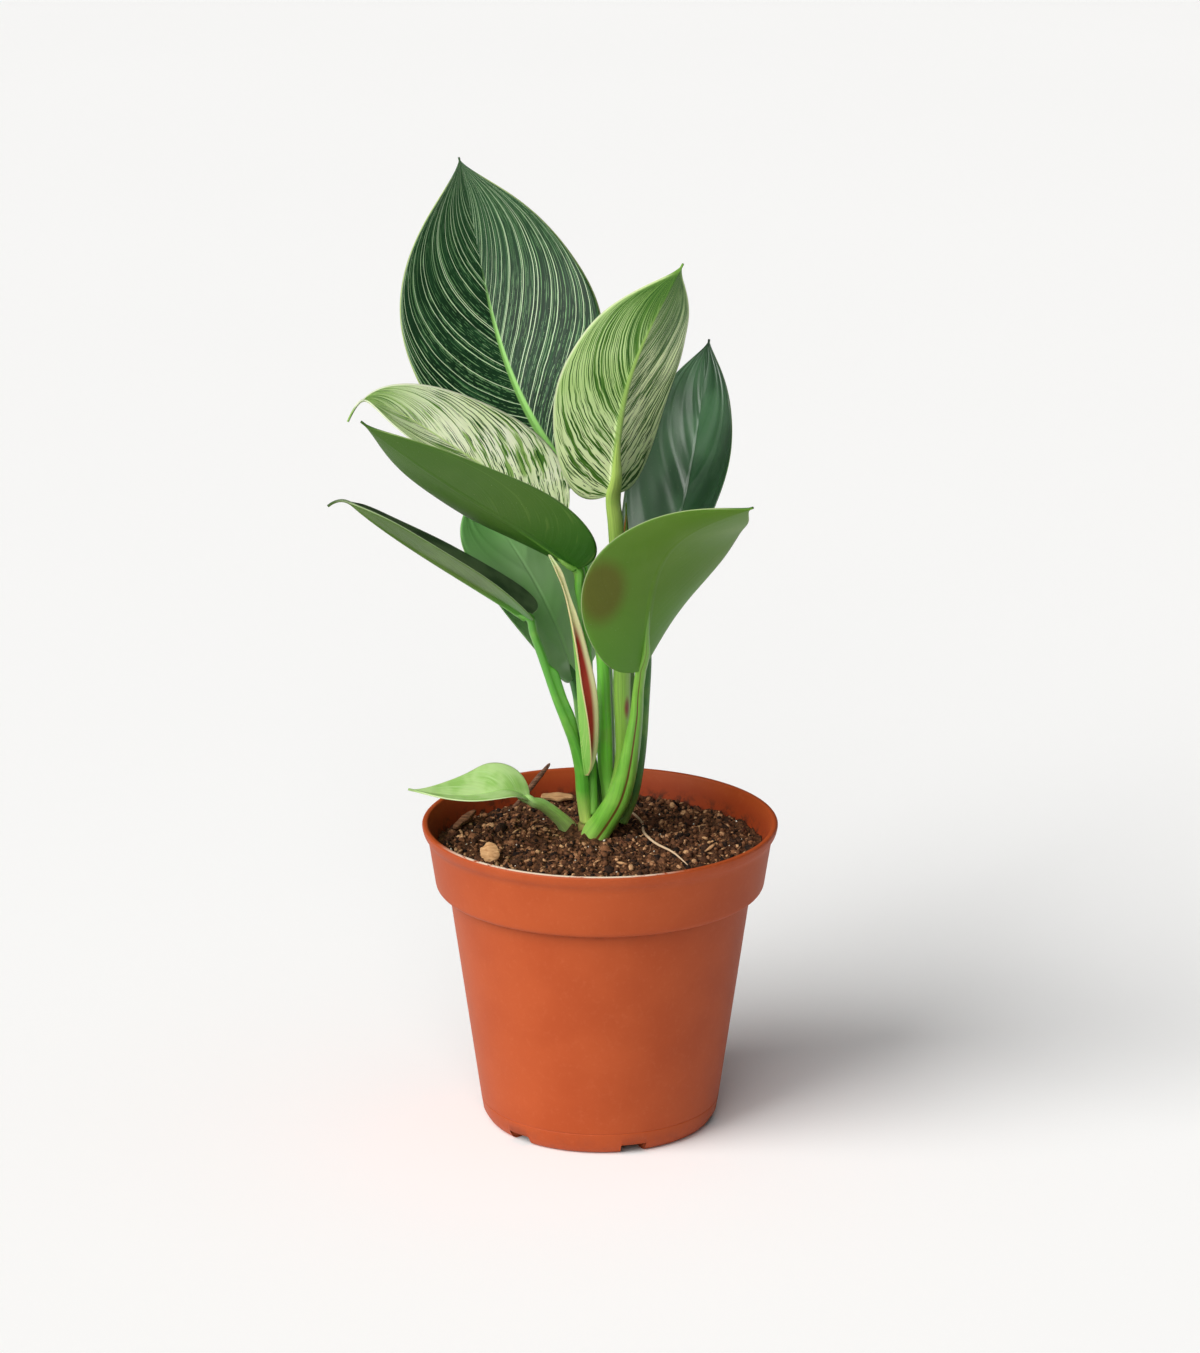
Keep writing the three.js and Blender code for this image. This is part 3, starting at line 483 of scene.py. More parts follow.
def stalk_rings(name):
    """Rings round a stalk, and the numbers that their points carry: an oval section along its path, with fine
    ribs and a groove along one side where the radius dips by groove * exp(-(angle / groove_angle)^2). The
    path runs on along the blade's midrib for the tuck's share of its length, where the section shrinks and
    sinks, so that it melts into the midrib's ridge. A wing pulls the groove's side out by
    reach * exp(-(angle / mark_angle)^2) over its share of the stalk."""
    leaf, stalk = LEAVES[name], STALKS[name]
    u = np.linspace(0, STALK["tuck"], STALK["tuck_rows"])
    place, along, up, right = rib_frame(leaf, u)
    narrow = stalk["top"] * (1 - (1 - STALK["end"]) * np.sin(np.pi / 2 * u / STALK["tuck"]))
    sunk = place - up * (smooth(0, STALK["sunk_at"], u) * STALK["sink"] * narrow)[:, None]
    near = [*(place[0] - stalk["lead"] * along[0]), stalk["top"]]
    route = np.concatenate([stalk["path"], [near], np.column_stack([sunk, narrow])])
    path = smooth_path(route, STALK["rows"])
    path, half = path[:, :3], path[:, 3:] / 2
    forward = directions(path)
    share = np.linspace(0, 1, STALK["rows"])[:, None]
    bare = np.linalg.norm(path - place[0], axis=1).argmin() / (STALK["rows"] - 1)
    grown = np.clip(share / bare, 0, 1)
    tucked = np.clip((share - bare) / (1 - bare), 0, 1)
    foot = path[0]
    round_crown = unit(np.array([CROWN_AXIS[1] - foot[1], foot[0] - CROWN_AXIS[0], 0]))
    round_crown = round_crown * (1 if round_crown @ right[0] >= 0 else -1)
    side = square_to((1 - grown) * round_crown + grown * right[0], forward)
    over = np.cross(forward, side)
    turn = angles(STALK["sides"])[None, :]
    to_groove = np.array([*stalk["groove_to"], 0.0])
    middle = np.arctan2(over @ to_groove, side @ to_groove)[:, None]
    off = np.abs((turn - middle + np.pi) % (2 * np.pi) - np.pi)
    depth = (stalk["groove"][0] + (stalk["groove"][1] - stalk["groove"][0]) * grown) * (1 - tucked)
    dip = 1 - depth * np.exp(-((off / STALK["groove_angle"]) ** 2))
    ribs = 1 + STALK["rib_height"] * np.sin(STALK["ribs"] * turn + 2.0 * grown)
    on_groove = np.exp(-((off / STALK["mark_angle"]) ** 2))
    ring = side[:, None] * (half * dip * ribs * np.cos(turn))[..., None]
    ring = ring + over[:, None] * (STALK["flatness"] * half * dip * ribs * np.sin(turn))[..., None]
    reach, low, high = stalk.get("wing", (0, 0, 1))
    wing = reach * smooth(low, (low + high) / 2, grown) * smooth(high + STALK["wing_end"], high, grown)
    ring = ring + unit(to_groove) * (wing * on_groove)[..., None]
    values = {
        "along": np.broadcast_to(STALK["top_at"] * grown + (1 - STALK["top_at"]) * tucked, off.shape),
        "groove": on_groove,
        "turn": np.broadcast_to(turn / (2 * np.pi), off.shape),
    }
    return path[:, None] + ring, values


# ---- pot ----------------------------------------------------------------------------------------
# The pot's heights and outer radii; longest_side is the longest that a side of its section may be.
POT = {
    "height": 92, "rim": 52.4, "lip_depth": 3, "lip_width": 1.7, "lip_step": 1.6, "band_top": 50.6,
    "band_foot": 48.3, "band_height": 72, "body_top": 44.6, "body_foot": 35.2, "corner": 4, "foot": 33.2,
    "wall": 1.2, "floor": 1.4, "sides": 288, "ledge": 6.6, "ledge_depth": 0.14, "longest_side": 4,
}
# The drain notches round its base: the first one's azimuth, half of what each spans, and its height.
DRAIN = {"count": 6, "first": 16.5, "half_angle": 6.25, "height": 3, "inner": 24, "inset": 0.25}


def rounded(corners, steps=7):
    """A profile of (radius, height, rounding) corners: each corner becomes a quadratic curve that starts
    and ends its rounding away, or half the side if that is less."""
    corners, roundings = np.array(corners, float)[:, :2], [corner[2] for corner in corners]
    t = np.linspace(0, 1, steps)[:, None]
    parts = [corners[:1]]
    for k in range(1, len(corners) - 1):
        a, b, c = corners[k - 1:k + 2]
        before, after = a - b, c - b
        lengths = np.linalg.norm(before), np.linalg.norm(after)
        cut = min(roundings[k], lengths[0] / 2, lengths[1] / 2)
        start, end = b + before * cut / lengths[0], b + after * cut / lengths[1]
        parts.append((1 - t) ** 2 * start + 2 * (1 - t) * t * b + t**2 * end)
    return np.concatenate([*parts, corners[-1:]])


def pot_section():
    """The pot's section in three runs: out under the base to the height of the drain notches, from there
    up the outside, over the lip and down the inside, and in again over the floor."""
    p, wall, cut = POT, POT["wall"], DRAIN["height"]
    slope = (p["body_top"] - p["body_foot"]) / (p["band_height"] - p["corner"])
    at_cut = p["body_foot"] - DRAIN["inset"]
    ledge, over_ledge = p["ledge"], p["ledge"] + 0.5
    at_ledge, past_ledge = (p["body_foot"] + slope * (z - p["corner"]) for z in (ledge, over_ledge))
    lip, band = p["height"] - p["lip_depth"], p["band_height"]
    step = lip - p["lip_step"]
    foot_out = rounded([(DRAIN["inner"], 0, 0), (p["foot"], 0, 1.6), (at_cut, cut, 0)])
    inner_foot = (p["foot"] - wall / 2, p["floor"], 0.8)
    foot_in = rounded([(DRAIN["inner"], p["floor"], 0), inner_foot, (at_cut - wall, cut, 0)])
    upper = rounded([
        (at_cut, cut, 0), (at_ledge, ledge, 0.5), (at_ledge - p["ledge_depth"], ledge + 0.15, 0.1),
        (past_ledge, over_ledge, 0.3),
        (p["body_top"], band - 0.6, 0.5), (p["body_top"] + 0.3, band, 0.3), (p["band_foot"], band + 0.3, 3.2),
        (p["band_top"], step, 2.0), (p["rim"] - 0.4, lip + 0.4, 1.6), (p["rim"], p["height"] - 0.5, 0.5),
        (p["rim"] - 0.5, p["height"], 0.6), (p["rim"] - p["lip_width"], p["height"], 0.8),
        (p["band_top"] - wall, step, 3.0), (p["band_foot"] - wall, band + wall / 2, 1.6),
        (p["body_top"] - wall, band - wall, 1.6), (at_cut - wall, cut, 0)])
    fine = [upper[:1]]
    for start, side in zip(upper, np.diff(upper, axis=0)):
        count = max(1, int(np.linalg.norm(side) / p["longest_side"]))
        fine.append(start + side * (np.arange(1, count + 1) / count)[:, None])
    return foot_out, np.concatenate(fine), foot_in[::-1]


def make_pot():
    """A turned pot. In each drain notch the stretch that both skins have below the notch's top is left
    out, and four strips join the two skins round the opening."""
    foot_out, upper, foot_in = pot_section()
    section = np.concatenate([foot_out[:-1], upper, foot_in[1:]])
    count, sides = len(section), POT["sides"]
    turn = np.radians(DRAIN["first"] - 90 - DRAIN["half_angle"] + 360 / sides * np.arange(sides))
    points = turned(*section.T, turn).reshape(-1, 3)
    poles = np.array([[0, 0, 0], [0, 0, POT["floor"]]], float)
    quads, base, floor = ring_faces(count, sides)
    row, column = np.divmod(np.arange(len(quads)), sides)
    per_notch = sides // DRAIN["count"]
    cells = round(2 * DRAIN["half_angle"] / (360 / sides))
    low, last = len(foot_out) - 1, (count - 1) * sides
    in_foot = (row < low) | (row >= count - 1 - low)
    kept = quads[~(in_foot & (column % per_notch < cells))]
    strips = []
    for notch in range(DRAIN["count"]):
        first = notch * per_notch
        a = first + np.arange(cells)
        b = a + 1
        strips.append(np.stack([a, b, last + b, last + a], -1))
        wall_low, wall_high = low * sides, (count - 1 - low) * sides
        strips.append(np.stack([wall_low + b, wall_low + a, wall_high + a, wall_high + b], -1))
        rows = np.arange(low)
        for side, flip in ((first, False), (first + cells, True)):
            o, n = rows * sides + side, (rows + 1) * sides + side
            q, r = (count - 1 - rows) * sides + side, (count - 2 - rows) * sides + side
            strips.append(np.stack([n, o, q, r] if flip else [o, n, r, q], -1))
    faces = [np.concatenate([kept, *strips])[:, ::-1], base[:, ::-1], floor[:, ::-1]]
    return make_mesh("pot_shell", np.concatenate([points, poles]), faces, slot="terracotta_plastic",
                     stands_for=["pot"])


# ---- soil ---------------------------------------------------------------------------------------
SOIL = {"edge": 83.6, "mound": 3, "mound_radius": 24, "clods": 0.55, "crumbs": 0.5, "gap": 0.25,
        "rings": 130, "sides": 300, "seed": 7, "floor": 3.2}
# The loose grains: how many, their half sizes from and to, how each is stretched, how high its middle
# stands over the soil in half sizes, how far it may tilt, its slot and its colours.
GRAINS = {
    "crumbs": (4600, (0.3, 0.95), (1.15, 0.95, 0.8), 0.25, np.pi, "potting_soil", "peat_grain"),
    "clods": (150, (1.0, 1.9), (1.2, 1.0, 0.8), -0.15, np.pi, "potting_soil", "peat_grain"),
    "bark": (260, (0.35, 0.9), (2.6, 0.8, 0.5), 0.7, 0.7, "dark_bark", "bark_grain"),
    "perlite": (90, (0.18, 0.42), (1.1, 1.0, 0.9), 0.8, np.pi, "pale_bark", "perlite_grain"),
}
# Where grains may lie: within this reach of the pot's axis, and clear of the stalks' feet (x, y, radius).
# Each point of a grain is moved in or out, and each grain stretched along each axis, by a random factor.
STREWN = {"reach": 46.5, "over": 0.4, "feet": ((-0.5, 8, 7), (-3.4, 1.8, 6), (-10.4, 6, 2.5)),
          "jog": (0.78, 1.2), "stretch": (0.7, 1.3)}
# The pale root: its route over the soil as x, y and height over it, and its radius.
PALE_ROOT = {"route": ((6.5, 38, 0.9), (9, 27, 0.7), (12.5, 15, 0.9), (13, 4, 1.2), (16.5, -7, 1.4),
                       (21.5, -15, 1.5), (25.5, -20.5, 0.7)), "radius": 0.42}
# The fine roots: how many, how far from the pot's axis they start and may reach, how many steps each has,
# how much its heading wanders at each, the length of a step, the height over the soil, the distance kept
# from the crown, and the radius.
THREADS = {"count": 46, "reach": 44, "limit": 45.5, "steps": 5, "wander": 0.45, "step": (0.8, 2.2),
           "lift": (0.2, 0.8), "clear": 8.5, "radius": 0.16}
# How each root is made: end is the share of its radius that is left at both ends.
FIBRE = {"rows": 22, "sides": 6, "end": 0.35}


def soil_height(x, y):
    """Level at the wall, a Gaussian mound round the stem, two waves, and lumps of three sizes."""
    points = np.stack([x, y, np.zeros_like(x)], -1)
    mound = SOIL["mound"] * np.exp(-(x**2 + y**2) / SOIL["mound_radius"] ** 2)
    clods = SOIL["clods"] * np.sin(0.31 * x + 1.1) * np.sin(0.36 * y + 0.4)
    crumbs = SOIL["crumbs"] * np.sin(1.05 * x + 0.8 * y) * np.cos(0.9 * y - 0.7 * x + 2)
    rough = 0.75 * lumps(points, 4.6, 1) + 0.5 * lumps(points, 2.1, 2) + 0.3 * lumps(points, 1.05, 3)
    return SOIL["edge"] + mound + clods + crumbs + rough


def wall_radius(z):
    """Inner radius of the pot's band at a height."""
    band_end = POT["height"] - POT["lip_depth"] - POT["lip_step"]
    slope = (POT["band_top"] - POT["band_foot"]) / (band_end - POT["band_height"])
    return POT["band_foot"] - POT["wall"] + slope * (z - POT["band_height"])


def make_soil():
    """A polar grid: out over the rough top, down inside the pot's wall and in again under the bottom."""
    edge = wall_radius(SOIL["edge"]) - SOIL["gap"]
    inset = POT["wall"] + SOIL["gap"]
    top = np.linspace(0.4, edge, SOIL["rings"])
    down = [(wall_radius(76) - SOIL["gap"], 76), (POT["body_top"] - inset, 70), (POT["body_foot"] - inset, 5),
            (POT["foot"] - inset, SOIL["floor"]), (10, SOIL["floor"])]
    rings = turned(*np.transpose([*((r, 0) for r in top), *down]), angles(SOIL["sides"]))
    rough = rings[:len(top)]
    rough[..., 2] = soil_height(rough[..., 0], rough[..., 1])
    return skin("soil_body", rings[::-1], slot="potting_soil", stands_for=["potting_soil"])


def grain_shape():
    """A rough ball of 20 points and 36 triangles: two poles and three rings of six."""
    rise = np.radians([-50, 0, 50])[:, None]
    turn = (np.arange(6) * np.pi / 3 + np.array([[0.0], [0.5], [1.0]]))
    ball = np.stack([np.cos(rise) * np.cos(turn), np.cos(rise) * np.sin(turn), np.sin(rise) + 0 * turn], -1)
    points = np.concatenate([ball.reshape(-1, 3), [[0, 0, -1], [0, 0, 1]]])
    quads, head, tail = ring_faces(3, 6)
    return points, np.concatenate([quads[:, [0, 1, 2]], quads[:, [0, 2, 3]], head, tail])


def random_turns(random, count, tilt):
    """Rotation matrices: a random turn about +Z, then a tilt of up to that angle about a level axis."""
    yaw = random.uniform(0, 2 * np.pi, count)
    lean = random.uniform(0, tilt, count)
    way = random.uniform(0, 2 * np.pi, count)
    level = np.stack([np.cos(way), np.sin(way), np.zeros(count)], -1)
    return turn_about(level, lean) @ turn_about((0, 0, 1), yaw)


def make_grains(name):
    """Grains strewn over the soil by a seeded draw: each is the rough ball with its points jogged,
    scaled, turned and set on the soil, clear of the stalks' feet."""
    count, (low, high), stretch, rise, tilt, slot, _ = GRAINS[name]
    reach, feet = STREWN["reach"], np.array(STREWN["feet"])
    random = np.random.default_rng(SOIL["seed"] + len(name))
    points, faces = grain_shape()
    radius = reach * np.sqrt(random.uniform(0, 1, count))
    turn = random.uniform(0, 2 * np.pi, count)
    size = low + (high - low) * random.uniform(0, 1, count) ** 2
    x, y = radius * np.cos(turn), radius * np.sin(turn)
    gaps = np.hypot(x[:, None] - feet[:, 0], y[:, None] - feet[:, 1]) - feet[:, 2] - size[:, None]
    clear = (gaps > 0).all(1) & (radius + size < reach + STREWN["over"])
    z = soil_height(x, y) + size * rise
    shape = points * random.uniform(*STREWN["jog"], (count, len(points), 1))
    scale = size[:, None] * np.array(stretch) * random.uniform(*STREWN["stretch"], (count, 3))
    shape = np.einsum("nij,nkj->nki", random_turns(random, count, tilt), shape * scale[:, None])
    shape = shape + np.stack([x, y, z], -1)[:, None]
    tone = np.repeat(random.uniform(0, 1, count)[:, None], len(points), 1)
    shape, tone = shape[clear], tone[clear]
    all_faces = (faces[None] + len(points) * np.arange(len(shape))[:, None, None]).reshape(-1, 3)
    return make_mesh(f"soil_{name}", shape, [all_faces], {"tone": tone}, slot=slot)


def tube(path, radius, sides):
    """Rings of a round tube along a path, square to it."""
    forward = directions(path)
    side = square_to(np.array([0.31, 0.2, 0.93]) + 0 * path, forward)
    over = np.cross(forward, side)
    turn = angles(sides)[None, :, None]
    round_path = side[:, None] * np.cos(turn) + over[:, None] * np.sin(turn)
    return path[:, None] + radius[:, None, None] * round_path


def make_fibres(name, routes, radius, slot):
    """Several thin tubes in one piece: each follows a smooth path and tapers to both ends, by
    end + (1 - end) * sqrt(sin(pi * share of the way))."""
    end, rows, sides = FIBRE["end"], FIBRE["rows"], FIBRE["sides"]
    taper = end + (1 - end) * np.sin(np.pi * np.linspace(0, 1, rows)) ** 0.5
    rings = np.stack([tube(smooth_path(route, rows), radius * taper, sides) for route in routes])
    poles = np.stack([rings[:, 0].mean(1), rings[:, -1].mean(1)], 1)
    points = np.concatenate([rings.reshape(len(routes), -1, 3), poles], 1)
    start = points.shape[1] * np.arange(len(routes))[:, None, None]
    faces = [(f[None] + start).reshape(-1, f.shape[1]) for f in ring_faces(rows, sides)]
    tone = np.repeat(np.arange(len(routes)) * 0.37 % 1, points.shape[1])
    return make_mesh(name, points, faces, {"tone": tone}, slot=slot)


def make_roots():
    """The pale root on the soil at the right, and short dark threads strewn by a seeded draw."""
    x, y, lift = np.array(PALE_ROOT["route"]).T
    pale = np.column_stack([x, y, soil_height(x, y) + lift])
    random = np.random.default_rng(SOIL["seed"])
    how, routes = THREADS, []
    for _ in range(how["count"]):
        radius, turn = how["reach"] * math.sqrt(random.uniform(0.05, 1)), random.uniform(0, 2 * np.pi)
        heading = random.uniform(0, 2 * np.pi) + np.cumsum(random.normal(0, how["wander"], how["steps"]))
        steps = random.uniform(*how["step"]) * np.stack([np.cos(heading), np.sin(heading)], -1)
        flat = np.cumsum(steps, 0) + [radius * math.cos(turn), radius * math.sin(turn)]
        flat *= np.minimum(1, how["limit"] / np.hypot(*flat.T))[:, None]
        height = soil_height(*flat.T) + random.uniform(*how["lift"], how["steps"])
        if np.hypot(flat[:, 0] - CROWN_AXIS[0], flat[:, 1] - CROWN_AXIS[1]).min() > how["clear"]:
            routes.append(np.column_stack([flat, height]))
    return (make_fibres("pale_root", [pale], PALE_ROOT["radius"], "pale_bark"),
            make_fibres("fine_roots", routes, how["radius"], "dark_bark"))


# ---- bark bits and crown ------------------------------------------------------------------------
# Each bit's middle, half sizes, turns about X, Y and Z in degrees, slot, and its grain's two tones.
BITS = {
    "wood_chip": dict(at=(-32.1, -14, 86.4), half=(2.8, 2.9, 0.8), turn=(55, -14, 8), slot="pale_bark",
                      tones=((176, 128, 84), (216, 172, 122))),
    "bark_stick": dict(at=(-40.4, 18.6, 86), half=(6.6, 1.2, 0.9), turn=(0, -8, 62), slot="dark_bark",
                       tones=((84, 54, 36), (142, 98, 68))),
    "bark_flake": dict(at=(-13, 41.6, 85.6), half=(5, 1.5, 0.8), turn=(22, 2, 3), slot="pale_bark",
                       tones=((176, 128, 84), (216, 172, 122))),
    "dry_twig": dict(at=(-21, 36.4, 90.3), half=(9.5, 0.8, 0.8), turn=(0, -50, 12), slot="dark_bark",
                     tones=((76, 52, 40), (136, 98, 74))),
}
BIT = {"rows": 44, "sides": 28}
CROWN = {"radius": 6, "foot": 62, "shoulder": 88, "top": 90.5, "rows": 40, "top_rows": 14, "sides": 48}


def make_bit(name):
    """A splinter: an oval section along X that swells and pinches, roughened by lumps that are longer
    than they are wide, then turned and set in place."""
    bit = BITS[name]
    half = np.array(bit["half"])
    way = np.linspace(-1, 1, BIT["rows"])[:, None]
    turn = angles(BIT["sides"])[None, :]
    swell = (1 - np.abs(way) ** 5) ** 0.5 * (0.9 + 0.12 * np.sin(5 * way + 1)) + 0.12 * (1 - np.abs(way))
    section = 1 / (np.abs(np.cos(turn)) ** 3 + np.abs(np.sin(turn)) ** 3) ** (1 / 3)
    rings = np.stack([way * half[0] + 0 * turn, swell * half[1] * section * np.cos(turn),
                      swell * half[2] * section * np.sin(turn)], -1)
    seed = len(name)
    grain = lumps(rings * [0.35, 1.6, 1.6], 1.0, seed) * 0.14 + lumps(rings, 1.6, seed + 1) * 0.12
    rings[..., 1:] *= (1 + grain[..., None])
    tip, roll, yaw = np.radians(bit["turn"])
    stance = turn_about((0, 0, 1), yaw) @ turn_about((0, 1, 0), roll) @ turn_about((1, 0, 0), tip)
    rings = rings @ stance.T + bit["at"]
    return skin(f"{name}_piece", rings, slot=bit["slot"], stands_for=[name])


def make_crown():
    """The stem's stub: a turned form, ringed by old leaf scars, whose radius shrinks above the shoulder by
    sqrt(1 - over^2), where over is the share of the way to the top."""
    foot, shoulder, top = CROWN["foot"], CROWN["shoulder"], CROWN["top"]
    dome = np.sin(np.linspace(0.1, np.pi / 2, CROWN["top_rows"]))
    height = np.concatenate([np.linspace(foot, shoulder, CROWN["rows"]), shoulder + (top - shoulder) * dome])
    over = np.clip((height - shoulder) / (top - shoulder), 0, 0.999)
    radius = CROWN["radius"] * np.sqrt(1 - over**2) * (1 + 0.02 * np.sin(height * 2.1))
    rings = turned(radius, height, angles(CROWN["sides"]), CROWN_AXIS)
    return skin("crown_piece", rings, slot="crown", stands_for=["crown"])


# ---- materials ----------------------------------------------------------------------------------
def tint(colour):
    """A colour as the shader wants it, from its red, green and blue screen values, 0 to 255."""
    screen = np.array(colour) / 255
    linear = np.where(screen <= 0.04045, screen / 12.92, ((screen + 0.055) / 1.055) ** 2.4)
    return (*(float(x) for x in linear), 1.0)


class Finish:
    """A material made node by node. Each method adds nodes and returns their output socket. A number, a
    vector or a socket may be given for any input, and a colour is a triple of screen values. plus, minus,
    times and ratio are a + b, a - b, a * b and a / b."""

    def __init__(self, name, roughness, **constants):
        self.material = bpy.data.materials.new(name)
        self.material.use_nodes = True
        self.tree = self.material.node_tree
        self.shader = self.tree.nodes["Principled BSDF"]
        self.shader.inputs["Roughness"].default_value = roughness
        for key, value in constants.items():
            self.shader.inputs[key.replace("_", " ")].default_value = value

    def node(self, kind, inputs, output=0, **settings):
        """Any shader node by kind, with its inputs by name or place."""
        node = self.tree.nodes.new(f"ShaderNode{kind}")
        for key, value in settings.items():
            setattr(node, key, value)
        for key, value in inputs.items():
            if isinstance(value, bpy.types.NodeSocket):
                self.tree.links.new(value, node.inputs[key])
            elif value is not None:
                node.inputs[key].default_value = value
        return node.outputs[output]

    def value(self, name):
        """The number of that name that each point of the mesh carries."""
        return self.node("Attribute", {}, "Fac", attribute_name=name)

    def place(self, scale=1000.0, **mapping):
        """Object coordinates, in millimetres unless scaled otherwise."""
        at = self.node("TexCoord", {}, "Object")
        scale = scale if isinstance(scale, tuple) else (scale, scale, scale)
        return self.node("Mapping", {"Vector": at, "Scale": scale, **mapping})

    def math(self, operation, a, b=None, c=None, clamp=False):
        return self.node("Math", {0: a, 1: b, 2: c}, operation=operation, use_clamp=clamp)

    def plus(self, a, b):
        return self.math("ADD", a, b)

    def minus(self, a, b):
        return self.math("SUBTRACT", a, b)

    def times(self, a, b):
        return self.math("MULTIPLY", a, b)

    def ratio(self, a, b):
        return self.math("DIVIDE", a, b)

    def join(self, x, y=0.0, z=0.0):
        return self.node("CombineXYZ", {"X": x, "Y": y, "Z": z})

    def length(self, vector):
        return self.node("VectorMath", {0: vector}, "Value", operation="LENGTH")

    def noise(self, vector, scale, detail=2.0, roughness=0.5, distortion=0.0):
        """Noise about 0.5 whose lumps are 1 / scale wide."""
        return self.node("TexNoise", {"Vector": vector, "Scale": scale, "Detail": detail,
                                      "Roughness": roughness, "Distortion": distortion}, "Fac")

    def band(self, value, low, high):
        """0 at low and 1 at high, smooth between; low may be above high."""
        return self.node("MapRange", {"Value": value, "From Min": low, "From Max": high},
                         interpolation_type="SMOOTHSTEP")

    def mix(self, share, a, b):
        """Colour a where the share is 0, colour b where it is 1."""
        node = self.tree.nodes.new("ShaderNodeMix")
        node.data_type = "RGBA"
        for socket, value in ((node.inputs[0], share), (node.inputs[6], a), (node.inputs[7], b)):
            if isinstance(value, bpy.types.NodeSocket):
                self.tree.links.new(value, socket)
            else:
                socket.default_value = tint(value) if isinstance(value, tuple) else value
        return node.outputs[2]

    def lay(self, colour, tone, share, *more):
        """The colour with a tone over it, by the product of the shares."""
        for other in more:
            share = self.times(share, other)
        return self.mix(share, colour, tone)

    def ramp(self, share, stops):
        """A colour ramp with a stop of (place, colour) for each tone."""
        node = self.tree.nodes.new("ShaderNodeValToRGB")
        self.tree.links.new(share, node.inputs[0])
        elements = node.color_ramp.elements
        while len(elements) < len(stops):
            elements.new(0.5)
        for element, (place, colour) in zip(elements, stops):
            element.position = place
            element.color = tint(colour)
        return node.outputs[0]

    def bump(self, height, distance, under=None):
        """Relief of that distance in millimetres, on top of the relief under it."""
        return self.node("Bump", {"Height": height, "Distance": distance * MM, "Strength": 1.0,
                                  "Normal": under})

    def finish(self, colour, relief=None):
        """Joins colour and relief to the shader and gives the material."""
        self.tree.links.new(colour, self.shader.inputs["Base Color"])
        if relief:
            self.tree.links.new(relief, self.shader.inputs["Normal"])
        return self.material


# How strokes are drawn: jog is how far they wander off the veins (mm, lumps per mm, detail), halves_apart
# how far apart the two halves of a blade read the noise, so that they don't mirror each other. Where the
# noise passes 1 - cover a stroke begins, and it is whole after this much edge. patchy is the noise that
# makes strokes denser here and there (lumps per mm) and patch_share its strength. A drift makes them
# denser past even_at.
STROKES = {"jog": (1.2, 0.25, 1.0), "halves_apart": 37.3, "edge": 0.07, "patchy": 0.09, "patch_share": 0.2,
           "even_at": 0.4}
# How lines are drawn: they fade over this share of the blade before their end, and a line is whole where
# the noise along it is above the second limit and gone under the first, both less its share times cover.
LINES = {"jog": (0.9, 0.12, 2.0), "core": 0.5, "fade": 0.3, "limits": (0.64, 0.72), "cover": 0.4}


def jog(f, height, lumps_per_mm, detail):
    """Noise in object space, up to that height."""
    return f.times(f.noise(f.place(), lumps_per_mm, detail), height)


def stroke(f, look, line, rib, along, cover, across, length, seed):
    """Where a stroke is, 0 to 1: noise over (line / across, rib / length), which is as long as it is
    narrow along the veins, plus a patchy noise and a drift towards the tip, past 1 - cover."""
    at = f.join(f.ratio(f.plus(line, jog(f, *STROKES["jog"])), across), f.ratio(rib, length), seed)
    lumpy = f.minus(f.noise(f.place(), STROKES["patchy"], 1.0), 0.5)
    patchy = f.times(lumpy, look.get("patchy", STROKES["patch_share"]))
    drift = f.times(f.minus(along, STROKES["even_at"]), look.get("drift", 0.0))
    grain = f.plus(f.plus(f.noise(at, 1.0, 2.0, 0.5), patchy), drift)
    mark = f.band(grain, 1 - cover, 1 - cover + STROKES["edge"])
    return f.times(mark, f.band(f.value("margin"), *look["clear"])) if "clear" in look else mark


def vein_line(f, line, rib, along, gap, thin, thick, share, dash, end, seed):
    """Where a thin line is, 0 to 1: the cells of a one-dimensional Voronoi pattern over line / gap, each
    with its own width, broken by noise over (line / gap, rib / dash) and faded out before the end."""
    at = f.ratio(f.plus(line, jog(f, *LINES["jog"])), gap)
    cells = f.node("TexVoronoi", {"W": f.plus(at, seed), "Scale": 1.0}, "Distance", voronoi_dimensions="1D")
    own = cells.node.outputs["Color"]
    width = f.node("MapRange", {"Value": own, "To Min": thin / gap, "To Max": thick / gap})
    stripe = f.band(f.ratio(cells, width), 1.0, LINES["core"])
    frayed = f.noise(f.join(f.times(at, 0.9), f.ratio(rib, dash), seed), 1.0, 2.0, 0.6)
    faded = f.times(f.band(along, end - LINES["fade"], end), -0.5)
    low, high = (limit - share * LINES["cover"] for limit in LINES["limits"])
    return f.times(stripe, f.band(f.plus(frayed, faded), low, high))


